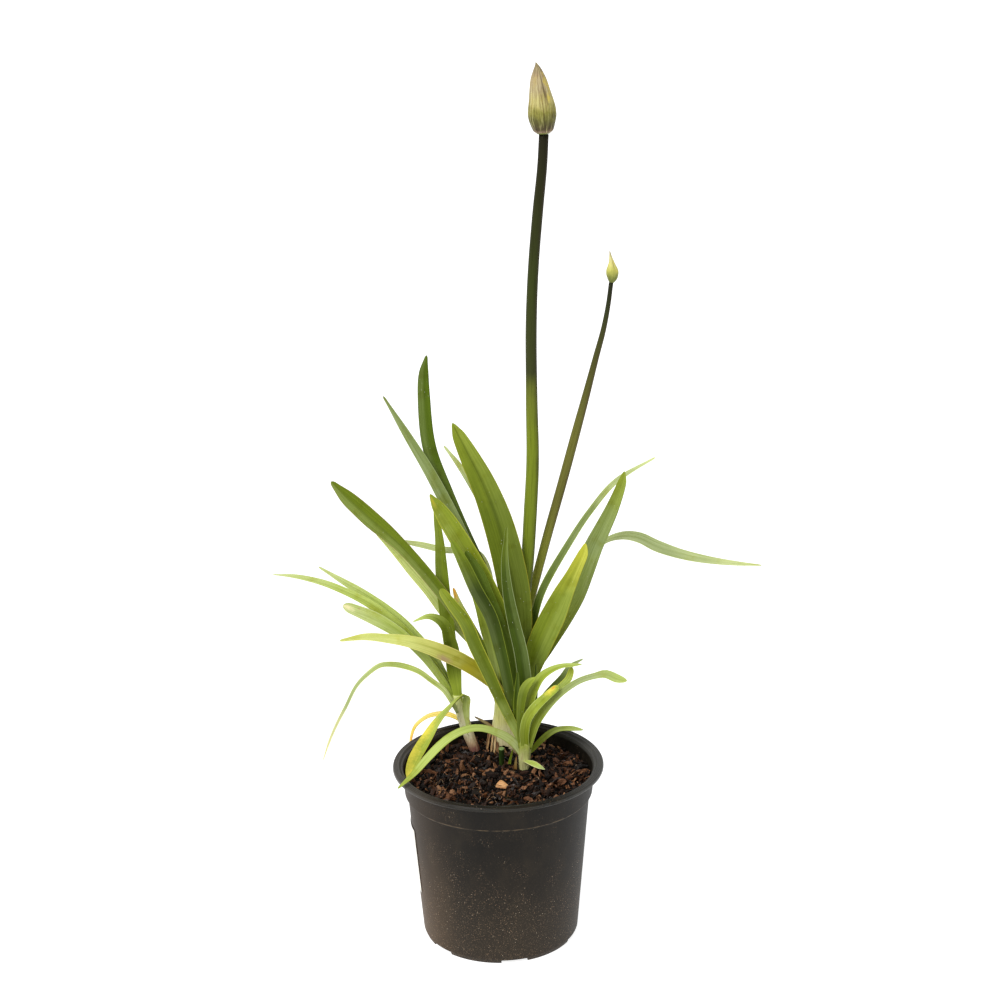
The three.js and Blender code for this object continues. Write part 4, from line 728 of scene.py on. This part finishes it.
def add_stalk(name, stalk):
    shares = np.linspace(0, 1, round(Sweep(stalk["path"]).length / STALK["step"]))
    sweep = Sweep(stalk["path"], shares)
    turn = circle(STALK["sides"])
    rings, strip = [], []
    for i, share in enumerate(shares):
        place = share * sweep.length * 0.02
        ripple = np.array([noise.noise((math.cos(a), math.sin(a), place)) for a in turn])
        rings.append(sweep.ring(i, turn, sweep.sizes[i] * (1 + STALK["ripple"] * ripple)))
        strip += round_strip(STALK["sides"], share)
    add_rings(name + "_stem", rings, stalk_material(name, stalk, sweep.length), name, strip)


def bud_seam(share):
    """Where, in radians, the seam between a bud's two bracts runs at this share of its height."""
    return math.radians(56 + 22 * share)


def bud_material(name, bud):
    """Two bracts: `marks` holds the depth of the seam between them, and how far a point is to its right."""
    shader = Shader(name, roughness=0.45)
    across, along = shader.strip()
    seam, right = shader.strip("marks")
    wander = shader.noise(0.18, detail=3) * 0.24 - 0.12
    shader.base = shader.ramp(along + wander * along.between(0.02, 0.15), bud["tones"])
    streaks = shader.noise(1.3, shader.vector(across * 20, along * 2.2), detail=4, roughness=0.65)
    shader.tint(streaks.between(0.48, 0.62) * bud["brown"], "#94795e")
    shader.coat(streaks.between(0.46, 0.34) * bud["lit"], "#cfc88a")
    golden = shader.noise(1.0, shader.place(0.3, 0.3, 0.09), detail=3).between(0.5, 0.64)
    shader.coat(golden * along.between(0.25, 0.5) * (right * 0.5 + 0.15), "#cdb94a")
    shader.coat(seam * 0.8, "#4a3f26")
    shader.rough(streaks, 0.38, 0.6)
    return shader.finish(streaks, 0.2)


def add_bud(name, bud):
    shares = (1 - np.cos(np.linspace(0, math.pi, BUD["sections"]))) / 2
    sweep = Sweep(bud["path"], shares)
    turn = circle(BUD["sides"])
    seam_depth, seam_width = BUD["seam"]
    rings, strip, marks = [], [], []
    for i, share in enumerate(shares):
        past = (turn - bud_seam(share) + math.pi) % (2 * math.pi) - math.pi
        opened = smoothstep(share, *BUD["opens"])
        seam = np.exp(-((past / seam_width) ** 2)) * opened
        right = smoothstep(-past, 0, 0.05) * smoothstep(-past, *BUD["lap_ends"])
        ribs = BUD["rib"] * np.cos(BUD["ribs"] * turn) * smoothstep(share, 0.05, 0.3)
        swell = BUD["swell"] * np.cos(3 * turn + 1) * smoothstep(share, 0.1, 0.4)
        cut = seam_depth * seam + BUD["lap"] * right * opened
        rings.append(sweep.ring(i, turn, sweep.sizes[i] * (1 + ribs + swell - cut)))
        strip += round_strip(BUD["sides"], share)
        marks += list(zip(seam, right))
    add_rings(name + "_spathe", rings, bud_material(name, bud), name, strip, marks)


# ---------------------------------------------------------------- necks, sheath and stub

# `step` is how far each leaf base stands over the next, `twist` their turns per millimetre, `swell` how far
# the neck stands out over the CAD outline, and `shrink` how much slimmer it gets where the leaves leave it.
NECK = {"sides": 144, "sections": 80, "squareness": 2.8, "layers": 7, "step": 0.55, "twist": 0.02,
        "swell": 0.1, "shrink": 1.5}
ARCH = {"x": 5, "half_width": 7.4, "foot": 149, "top": 158.5, "depth": 3.2}


def neck_ring(sections, z, angles, grow=0.0):
    """The neck's outline at height z: a rounded rectangle, moved out by `grow`."""
    heights = [s[2] for s in sections]
    x, y, _, half_x, half_y = held_spline(sections, np.interp(z, heights, range(len(heights))))
    power = 2 / NECK["squareness"]
    across, back = (np.sign(v) * np.abs(v) ** power for v in (np.cos(angles), np.sin(angles)))
    outline = x + across * (half_x + grow), y + back * (half_y + grow), np.full(len(angles), z)
    return np.column_stack(outline)


def under_arch(points):
    """1 under the torn arch at the front foot of the main neck, and 0 outside it."""
    middle = NECKS["neck_main"]["sections"][0][1]
    out = np.zeros(len(points))
    for k, (x, y, z) in enumerate(points):
        off = (x - ARCH["x"]) / ARCH["half_width"]
        if abs(off) < 1 and y < middle:
            tear = 1.1 * noise.noise((x * 0.45, 3, 1)) + 0.5 * noise.noise((x * 1.3, 9, 4))
            rise = ARCH["foot"] + (ARCH["top"] - ARCH["foot"]) * math.sqrt(1 - off * off) + tear
            out[k] = smoothstep(rise - z, 0, 0.5)
    return out


def neck_material(name, tones):
    """Rolled leaf bases: `marks` holds the hollow under the arch, which is painted near-black as its shade,
    and the slits between the bases.
    """
    shader = Shader(name, specular=0.25)
    along = shader.strip()[1]
    hollow, slit = shader.strip("marks")
    shader.base = shader.ramp(along + (shader.noise(0.12, detail=3) * 0.3 - 0.15), tones)
    fine = shader.noise(0.9, shader.place(1, 1, 0.06), detail=4, roughness=0.65)
    shader.tint(fine.between(0.46, 0.66) * 0.4, "#b8ad7c")
    shader.coat(fine.between(0.44, 0.3) * 0.5, "#ddd4a4")
    brown = shader.noise(0.35, shader.place(1, 1, 0.12), detail=5, roughness=0.7)
    shader.coat(brown.between(0.57, 0.68) * 0.6, "#8a6a44")
    shader.coat(slit * 0.5, "#5f6a28")
    # Painted shade: the hollow under the arch is coloured near-black.
    shader.coat(hollow, "#150d09")
    shader.rough(fine, 0.42, 0.66)
    return shader.finish(fine, 0.22)


def add_neck(name, neck):
    sections = neck["sections"]
    bottom, top = sections[0][2], sections[-1][2]
    angles = circle(NECK["sides"])
    rings, strip, marks = [], [], []
    for share in np.linspace(0, 1, NECK["sections"]):
        z = bottom + (top - bottom) * share
        turn = (angles * NECK["layers"] / (2 * math.pi) + NECK["twist"] * (z - bottom)) % 1
        slit = smoothstep(turn, 0.97, 1) * smoothstep(share, 0.5, 0.8)
        grow = NECK["swell"] - NECK["step"] * turn**3 - NECK["shrink"] * smoothstep(share, 0.8, 1)
        hollow = np.zeros(len(angles))
        if name == "neck_main":
            hollow = under_arch(neck_ring(sections, z, angles))
        ring = neck_ring(sections, z, angles, grow)
        ring[:, 1] += ARCH["depth"] * hollow
        rings.append(ring)
        strip += round_strip(NECK["sides"], share)
        marks += list(zip(hollow, slit))
    material = neck_material(name, neck["tones"])
    add_rings(name + "_leaf_bases", rings, material, name, strip, marks)


# Strips of torn sheath: [degrees from, to, distance at the foot, at the top, foot height, top height].
SHEATH = {
    "thickness": 0.4,
    "strips": [[166, 183, 3.4, 1.8, 147, 166], [179, 194, 6.2, 2.4, 147, 170], [189, 208, 6.6, 0.8, 147, 176],
               [205, 219, 3.4, 0.4, 148, 174], [217, 230, 1.4, 0.4, 149, 168], [230, 246, 0.9, 0.4, 149, 162],
               [254, 264, 0.8, 0.4, 149, 157]],
    "columns": 18,
    "rows": 40,
}


def sheath_material():
    """Dry paper with brown edges: `marks` holds each strip's own tone."""
    shader = Shader("papery_sheath", roughness=0.7)
    across, along = shader.strip()
    tone = shader.strip("marks")[0]
    fine = shader.noise(1.0, shader.place(1, 1, 0.07), detail=4, roughness=0.65)
    papers = [(0.15, "#5e3c2a"), (0.4, "#9c7850"), (0.6, "#caa876"), (0.85, "#e8d4a0")]
    shader.base = shader.ramp(tone * 0.4 + (fine * 0.9 - 0.15), papers)
    shader.coat(abs(across - 0.5).between(0.36, 0.48) * 0.7, "#6a4228")
    shader.coat(along.between(0.2, 0.0) * 0.75, "#4a2f22")
    return shader.finish(fine, 0.4)


def add_sheath():
    random = np.random.default_rng(SEED + 5)
    sections = NECKS["neck_main"]["sections"]
    levels = np.linspace(0, 1, SHEATH["rows"])
    body = Body()
    for low, high, foot_out, top_out, foot, top in SHEATH["strips"]:
        tone, phase = random.uniform(0, 1), random.uniform(0, 50)
        rings, strip = [], []
        for share in np.linspace(0, 1, SHEATH["columns"]):
            ragged = 1.8 * noise.noise((share * 5, phase, 5)) + noise.noise((share * 15, phase, 1))
            outer, inner = [], []
            for level in levels:
                z = foot + (top + ragged - foot) * level
                width = (high - low) * (1 - 0.35 * level + 0.2 * noise.noise((level * 3, phase, 2)))
                turn = (low + high) / 2 + (share - 0.5) * width + 3 * math.sin(3 * level + phase)
                curl = 0.5 * noise.noise((share * 3, level * 4, phase))
                away = foot_out + (top_out - foot_out) * level + curl
                angle = np.radians([turn])
                outer.append(neck_ring(sections, z, angle, away + SHEATH["thickness"])[0])
                inner.append(neck_ring(sections, z, angle, away)[0])
            rings.append(outer + inner[::-1])
            strip += [(share, level) for level in [*levels, *levels[::-1]]]
        body.add_rings(rings, strip, [(tone, 0)] * len(strip))
    body.make("torn_sheath", sheath_material(), "papery_sheath")


# `profile` has the stub's stations as (share of the height, share of the radius there).
STUB = {
    "x": 3.2, "y": 19, "bottom": 142, "top": 169.5, "radius": 2.7, "foot_radius": 2.1, "sides": 28,
    "profile": [(0, 1), (0.3, 1), (0.6, 1), (0.9, 1), (0.96, 1), (0.985, 0.97), (1, 0.9), (1, 0.6),
                (0.99, 0.3)],
}


def add_stub():
    shader = Shader("cut_stub", specular=0.25)
    across, along = shader.strip()
    green = shader.noise(1.2, shader.place(1, 1, 0.1), detail=3)
    shader.base = shader.ramp(green, [(0.3, "#24380f"), (0.7, "#3f5a1c")])
    # Painted shade: the stub's right side, away from the light, is tinted darker.
    shader.tint(across.between(0.9, 0.35), "#9a9a70")
    cut = shader.ramp(shader.noise(1.5), [(0.3, "#6f8f4a"), (0.7, "#a2b878")])
    shader.coat(along.between(0.95, 0.97), cut)
    rings, strip = [], []
    for share, spread in STUB["profile"]:
        radius = (STUB["foot_radius"] + (STUB["radius"] - STUB["foot_radius"]) * share) * spread
        z = STUB["bottom"] + (STUB["top"] - STUB["bottom"]) * share
        rings.append(lathe_ring(circle(STUB["sides"]), radius, z, STUB["x"], STUB["y"]))
        strip += round_strip(STUB["sides"], share)
    add_rings("cut_stalk", rings, shader.finish(green, 0.15), "cut_stub", strip)


# ---------------------------------------------------------------- pot and label
# Profiles are lists of (radius, height).

WALL = [(71, 4.5), (82.2, 136)]
POT = {
    "outside": [(22, 0), (23, 3.2), (60.6, 3.2), (61.6, 0), (69.2, 0), *WALL, (84.8, 138.5),
                (87, 160.4), (93.8, 160.4), (95, 161.6), (95, 163.6), (94.2, 164.8), (93.4, 165),
                (92.7, 164.5), (91.9, 165), (91.1, 164.5), (90.3, 165), (89.3, 165), (88, 163), (86.4, 163)],
    "inside": [(85.2, 160.4), (83, 139), (80.4, 136.5), (69.2, 7.2), (67.4, 5.2)],
    "axis": 0.5,  # where the profile ends instead of on the axis itself
    "floor": 5.2,
    "segments": 180,
    "rounding": 0.5,
    "sharp": 32,  # degrees from which an edge stays sharp
    "collar": 138.3,  # height of the dusty line under the collar
    "notches": 6,
    "first_notch": -80,
    "notch": (24, 24, 6.4),
    "foot_radius": 69.2,
    "drain_radius": 4,
    "drain_circle": 50,
    "drain_depth": 20,
}


def radius_at(profile, z):
    radii, heights = zip(*sorted(profile, key=lambda p: p[1]))
    return np.interp(z, heights, radii)


def rounded(profile, radius):
    """The profile with each corner turned into a short curve."""
    made = [profile[0]]
    for before, corner, after in zip(profile, profile[1:], profile[2:]):
        corner = np.array(corner, float)
        ends = []
        for other in (before, after):
            step = np.array(other, float) - corner
            length = np.linalg.norm(step)
            ends.append(corner + step / length * min(radius, length * 0.4))
        made += [tuple((1 - t) ** 2 * ends[0] + 2 * t * (1 - t) * corner + t * t * ends[1])
                 for t in (0, 0.33, 0.67, 1)]
    return [*made, profile[-1]]


def pot_material():
    """Black plastic: cloudy, with scuffs and painted highlight streaks on the rim, painted reflections on the
    rim's sides, a painted highlight down the left side, and dust that gets thicker toward the foot.
    """
    shader = Shader("pot_plastic", roughness=0.45, specular=0.16)
    place = shader.place()
    side, _, height = shader.split(place)
    low = height.between(125, -10)
    cloudy = shader.noise(0.035, shader.place(1, 1, 0.5), detail=4, roughness=0.6)
    shader.base = shader.ramp(cloudy, [(0.3, "#0d0a06"), (0.5, "#14100a"), (0.7, "#231d14")])
    shader.coat(low * 0.45, "#3f362b")
    # Painted highlight: a warm brown glow down the left side, stronger toward the foot.
    shader.coat(side.between(-30, -80) * (low * 0.7 + 0.3) * 0.4, "#75593a")
    grit = shader.noise(0.9, place, detail=4, roughness=0.7)
    shader.coat(grit.between(0.55, 0.72) * (low * 0.4 + 0.06), "#86745c")
    spread = (low * 0.5 + shader.noise(0.05, place, detail=3)).between(0.45, 0.8)
    for scale, size, tone in ((0.5, 0.16, "#a8886a"), (0.27, 0.1, "#cfbca2"), (0.9, 0.2, "#8a745c")):
        specks = shader.cells(scale, place).between(size, size * 0.5)
        shader.coat(specks * spread * 0.8, tone)
    line = abs(height - POT["collar"]).between(0.9, 0.2)
    shader.coat(line * shader.noise(0.12, place, detail=4).between(0.35, 0.6) * 0.4, "#8c7659")
    rim = height.between(159, 161)
    # Painted reflection: the rim is paler grey at its left and right sides.
    shader.coat(abs(side).between(45, 95) * rim * 0.5, "#5a5956")
    # Scuffs along the rim, which also stand in for its painted highlight streaks.
    around = shader.vector(shader.length(shader.place(1, 1, 0)), height * 1.5, cloudy)
    shader.coat(shader.noise(2.2, around, detail=3).between(0.5, 0.7) * rim * 0.45, "#626663")
    shader.rough(grit - rim * 0.7, 0.42, 0.66)
    return shader.finish(grit * (1.0 - rim), 0.07)


def cut_away(piece, cutters):
    """Cuts the other meshes out of a piece."""
    for cutter in cutters:
        cut = piece.modifiers.new("cut", "BOOLEAN")
        cut.operation = "DIFFERENCE"
        cut.solver = "EXACT"
        cut.object = cutter
    bpy.context.view_layer.objects.active = piece
    for modifier in list(piece.modifiers):
        bpy.ops.object.modifier_apply(modifier=modifier.name)
    for cutter in cutters:
        bpy.data.objects.remove(cutter)


def add_pot():
    ends = (POT["axis"], 0), (POT["axis"], POT["floor"])
    profile = rounded([ends[0], *POT["outside"], *POT["inside"], ends[1]], POT["rounding"])
    rings = [lathe_ring(circle(POT["segments"]), radius, z) for radius, z in profile]
    pot = add_rings("nursery_pot", rings, pot_material(), "pot")
    cutters = []
    for i in range(POT["notches"]):
        turn = Matrix.Rotation(math.radians(POT["first_notch"] + 360 / POT["notches"] * i), 4, "Z")
        bpy.ops.mesh.primitive_cube_add(size=1)
        notch = bpy.context.object
        notch.data.transform(turn @ Matrix.Translation((POT["foot_radius"] * MM, 0, 0))
                             @ Matrix.Diagonal([*(s * MM for s in POT["notch"]), 1]))
        bpy.ops.mesh.primitive_cylinder_add(radius=POT["drain_radius"] * MM, depth=POT["drain_depth"] * MM,
                                            vertices=32)
        drain = bpy.context.object
        drain.data.transform(turn @ Matrix.Translation((POT["drain_circle"] * MM, 0, POT["floor"] * MM)))
        cutters += [notch, drain]
    cut_away(pot, cutters)
    pot.data.shade_smooth()
    pot.data.set_sharp_from_angle(angle=math.radians(POT["sharp"]))


LABEL = {"bottom": 47, "top": 110, "from": 162, "to": 198, "gap": 0.45, "thickness": 0.35, "bubble": 0.35,
         "columns": 40, "rows": 30}


def add_label():
    shader = Shader("label", specular=0.3)
    paper = shader.noise(0.6, detail=4)
    edge = abs(shader.strip()[0] - 0.5).between(0.3, 0.5)
    shader.base = shader.mix(paper, "#e4e2da", "#f6f5f1")
    shader.coat(edge * paper.between(0.54, 0.64) * 0.5, "#c8a884")
    rings, strip = [], []
    for share in np.linspace(0, 1, LABEL["columns"]):
        angle = math.radians(LABEL["from"] + (LABEL["to"] - LABEL["from"]) * share)
        outer, inner = [], []
        for z in np.linspace(LABEL["bottom"], LABEL["top"], LABEL["rows"]):
            bubble = LABEL["bubble"] * max(0, noise.noise((share * 3, z * 0.06, 4)))
            near = radius_at(WALL, z) + LABEL["gap"] + bubble
            far = near + LABEL["thickness"]
            outer.append((far * math.cos(angle), far * math.sin(angle), z))
            inner.append((near * math.cos(angle), near * math.sin(angle), z))
        rings.append(outer + inner[::-1])
        strip += [(share, 0.5)] * (2 * LABEL["rows"])
    add_rings("blank_label", rings, shader.finish(paper, 0.05), "label", strip)


# ---------------------------------------------------------------- potting mix

SOIL = {"level": 149.6, "mound": 2.2, "crumb": 1.6, "gap": 0.5, "wall": (137, 100, 60, 20, 7.2),
        "bottom": 5.5, "foot_gap": 2, "rings": 110, "segments": 220}
SOIL_RIM = radius_at(POT["inside"], SOIL["level"]) - SOIL["gap"]
CHIP = {"x": 4, "y": -23.7, "clear": 5.5, "bevel": 0.4}
FIBRES = {"count": 34, "sides": 6, "sections": 9, "reach": 76, "limit": 80, "lift": 0.8, "hop": 2.6,
          "bend": (-0.5, 0.5), "step": (0.6, 1.5), "radius": (0.12, 0.26), "face": [0.3, 0.2, 1]}
LUMP = {
    "kinds": 24,
    "corners": 12,
    "reach": 82,  # how far from the pot's axis lumps lie
    "rare": 2.5,  # the power that makes large lumps rare
    "width": (0.3, 0.6),
    "flatness": (0.7, 1.3),
    "lift": (-0.25, 0.4),  # over the ground, against the size
    "flaky": 0.3,  # what is flatter than this is a curled flake
    "lies_flat": 0.3,  # how level a flake lies, from 0 to 1
}
PEAT = [(0.1, "#050302"), (0.45, "#0f0906"), (0.7, "#20130d"), (1, "#3a2418")]
BARK = [(0.05, "#0a0503"), (0.35, "#1c0f07"), (0.6, "#3a2112"), (0.8, "#663e22"), (1, "#a87c58")]
# name, how many, smallest and largest reach, how flat, tones, and the seed of the draw
LUMPS = [
    ("dark_nuggets", 3400, 0.9, 3.4, 0.5, PEAT, 11),
    ("brown_nuggets", 1700, 0.8, 3.2, 0.4, BARK, 12),
    ("bark_flakes", 1100, 2.6, 6.8, 0.2, BARK, 13),
]


def soil_height(x, y):
    inward = max(0, 1 - (x * x + y * y) / (SOIL_RIM + SOIL["gap"]) ** 2)
    lumps = sum(size * noise.noise((x * scale, y * scale, layer))
                for size, scale, layer in ((1, 0.11, 3), (0.6, 0.3, 8), (0.4, 0.8, 5)))
    return SOIL["level"] + SOIL["mound"] * inward + SOIL["crumb"] * lumps


def soil_material(name, tones):
    """Bark and peat: each lump has a tone of its own, from its place on the `strip` map."""
    shader = Shader(name, roughness=0.7, specular=0.3 if tones is BARK else 0.12)
    across, along = shader.strip()
    grain = shader.noise(0.7, detail=5, roughness=0.7)
    shader.base = shader.ramp(grain * 0.7 + (across * 0.9 - 0.32), tones)
    shader.rough(along, 0.25, 0.8)
    return shader.finish(grain, 0.5)


def add_soil():
    angles = circle(SOIL["segments"])
    rings = []
    for radius in np.linspace(POT["axis"], SOIL_RIM, SOIL["rings"]):
        heights = [soil_height(x, y) for x, y in zip(radius * np.cos(angles), radius * np.sin(angles))]
        rings.append(lathe_ring(angles, radius, heights))
    for z in SOIL["wall"]:
        rings.append(lathe_ring(angles, radius_at(POT["inside"], z) - SOIL["gap"], z))
    for radius in (radius_at(POT["inside"], SOIL["bottom"]) - SOIL["foot_gap"], POT["axis"]):
        rings.append(lathe_ring(angles, radius, SOIL["bottom"]))
    strip = [(0.15 + 0.25 * noise.noise((x * 0.5, y * 0.5, 1)), 0.8) for x, y, _ in np.concatenate(rings)]
    add_rings("potting_mix", rings, soil_material("soil_bed", PEAT), "soil", strip)


def lump_kinds(random):
    """A few angular lumps of unit size, as convex hulls of random points."""
    kinds = []
    for _ in range(LUMP["kinds"]):
        body = bmesh.new()
        for _ in range(LUMP["corners"]):
            body.verts.new(unit(random.normal(size=3)) * random.uniform(0.6, 1))
        made = bmesh.ops.convex_hull(body, input=body.verts)
        loose = {v for v in made["geom_interior"] + made["geom_unused"] if isinstance(v, bmesh.types.BMVert)}
        bmesh.ops.delete(body, geom=list(loose), context="VERTS")
        body.verts.index_update()
        points = np.array([v.co for v in body.verts])
        kinds.append((points, [tuple(v.index for v in f.verts) for f in body.faces]))
        body.free()
    return kinds


def flake_kinds(random):
    """Curled, ragged flakes of unit reach: two skins over a small grid."""
    kinds = []
    rows, columns = 7, 5
    for _ in range(LUMP["kinds"]):
        shift = random.uniform(0, 90)
        curl, lean = random.uniform(0.3, 1.8), random.uniform(-0.8, 0.8)
        rings = []
        for u in np.linspace(-1, 1, rows):
            taper = (1 - 0.75 * abs(u) ** random.uniform(1.5, 3)) * (1 + 0.5 * noise.noise((u * 2, shift, 0)))
            outer, inner = [], []
            for v in taper * np.linspace(-1, 1, columns):
                crumple = 0.9 * noise.noise((u * 1.7, v * 1.7, shift))
                lift = curl * (v * v - 0.3) + lean * u * u + crumple
                thick = 0.5 * (1 - abs(v)) + 0.25
                outer.append((u + 0.15 * crumple, v, lift + thick))
                inner.append((u + 0.15 * crumple, v, lift - thick))
            rings.append(outer + inner[::-1])
        kinds.append((np.concatenate(rings), ring_faces(rows, 2 * columns)))
    return kinds


def turned(random, level):
    """A random rotation as a 3 x 3 array; at level 1 what lies flat stays nearly flat."""
    flatter = 1 - 0.75 * level
    w, x, y, z = unit(random.normal(size=4) * np.array([1, flatter, flatter, 1]))
    return np.array([[1 - 2 * (y * y + z * z), 2 * (x * y - z * w), 2 * (x * z + y * w)],
                     [2 * (x * y + z * w), 1 - 2 * (x * x + z * z), 2 * (y * z - x * w)],
                     [2 * (x * z - y * w), 2 * (y * z + x * w), 1 - 2 * (x * x + y * y)]])


def in_the_way(x, y, reach):
    """True where a lump would stand against the bark chip, a neck or the stub."""
    if math.hypot(x - CHIP["x"], y - CHIP["y"]) < CHIP["clear"] + reach * 0.6:
        return True
    if math.hypot(x - STUB["x"], y - STUB["y"]) < STUB["radius"] + reach:
        return True
    feet = [neck["sections"][1] for neck in NECKS.values()]
    return any(((x - a) / (p + reach)) ** 2 + ((y - b) / (q + reach)) ** 2 < 1 for a, b, _, p, q in feet)


def add_lumps(name, count, small, large, flat, tones, seed):
    random = np.random.default_rng(seed)
    flaky = flat < LUMP["flaky"]
    kinds = flake_kinds(random) if flaky else lump_kinds(random)
    body = Body()
    made = 0
    while made < count:
        radius = LUMP["reach"] * math.sqrt(random.uniform(0, 1))
        angle = random.uniform(0, 2 * math.pi)
        size = small + (large - small) * random.uniform(0, 1) ** LUMP["rare"]
        shape, faces = kinds[random.integers(len(kinds))]
        scale = size * np.array([1, random.uniform(*LUMP["width"]), flat * random.uniform(*LUMP["flatness"])])
        lump = (shape * scale) @ turned(random, LUMP["lies_flat"] if flaky else 0).T
        reach = np.abs(lump[:, :2]).max()
        radius *= min(1, (SOIL_RIM - reach) / max(radius, 1))
        x, y = radius * math.cos(angle), radius * math.sin(angle)
        if in_the_way(x, y, reach):
            continue
        lift = random.uniform(*LUMP["lift"]) * size
        tone = [(random.uniform(0, 1), random.uniform(0, 1))]
        body.add(lump + np.array([x, y, soil_height(x, y) + lift]), faces, tone * len(lump))
        made += 1
    body.make(name, soil_material(name, tones), smooth=False)


def add_fibres():
    random = np.random.default_rng(SEED)
    shader = Shader("fibres", roughness=0.8)
    tone = shader.noise(0.2, detail=3)
    shader.base = shader.ramp(tone, [(0.3, "#5a3f2b"), (0.5, "#947252"), (0.7, "#cdbb9c")])
    body = Body()
    for _ in range(FIBRES["count"]):
        radius = FIBRES["reach"] * math.sqrt(random.uniform(0, 1))
        angle = random.uniform(0, 2 * math.pi)
        x, y = radius * math.cos(angle), radius * math.sin(angle)
        heading = random.uniform(0, 2 * math.pi)
        bend = random.uniform(*FIBRES["bend"])
        step = random.uniform(*FIBRES["step"])
        path = []
        for share in np.linspace(0, 1, FIBRES["sections"]):
            hop = FIBRES["hop"] * math.sin(math.pi * share) * random.uniform(0.6, 1)
            z = soil_height(x, y) + FIBRES["lift"] + hop
            path.append([x, y, z, random.uniform(*FIBRES["radius"])])
            x += step * math.cos(heading)
            y += step * math.sin(heading)
            heading += bend
        if max(math.hypot(p[0], p[1]) for p in path) > FIBRES["limit"]:
            continue
        sweep = Sweep(path, np.linspace(0, 1, 2 * FIBRES["sections"]), FIBRES["face"])
        body.add_rings([sweep.ring(i, circle(FIBRES["sides"]), size) for i, size in enumerate(sweep.sizes)])
    body.make("soil_fibres", shader.finish(tone, 0.1))


def finish_chip():
    """The bark chip keeps its CAD shape, with worn edges and a split-wood material."""
    shader = Shader("bark_wood", roughness=0.75)
    grain = shader.noise(1.1, shader.place(0.25, 1, 1), detail=5, roughness=0.65)
    shader.base = shader.ramp(grain, [(0.25, "#a86a3e"), (0.5, "#d29c66"), (0.75, "#e6bf8c")])
    low = shader.split(shader.place())[2].between(153.2, 152)
    shader.coat(low * 0.5, "#8a4f2c")
    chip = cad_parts["bark_chip"]
    chip.data.materials.clear()
    chip.data.materials.append(shader.finish(grain, 0.4))
    bevel = chip.modifiers.new("worn_edges", "BEVEL")
    bevel.width = CHIP["bevel"] * MM
    bevel.segments = 3


# ---------------------------------------------------------------- assembly

add_camera()
add_studio()
for table, add in ((BLADES, add_blade), (SCAPES, add_stalk), (BUDS, add_bud), (NECKS, add_neck)):
    for name, grown in table.items():
        add(name, grown)
add_sheath()
add_stub()
add_pot()
add_label()
add_soil()
for lumps in LUMPS:
    add_lumps(*lumps)
add_fibres()
finish_chip()
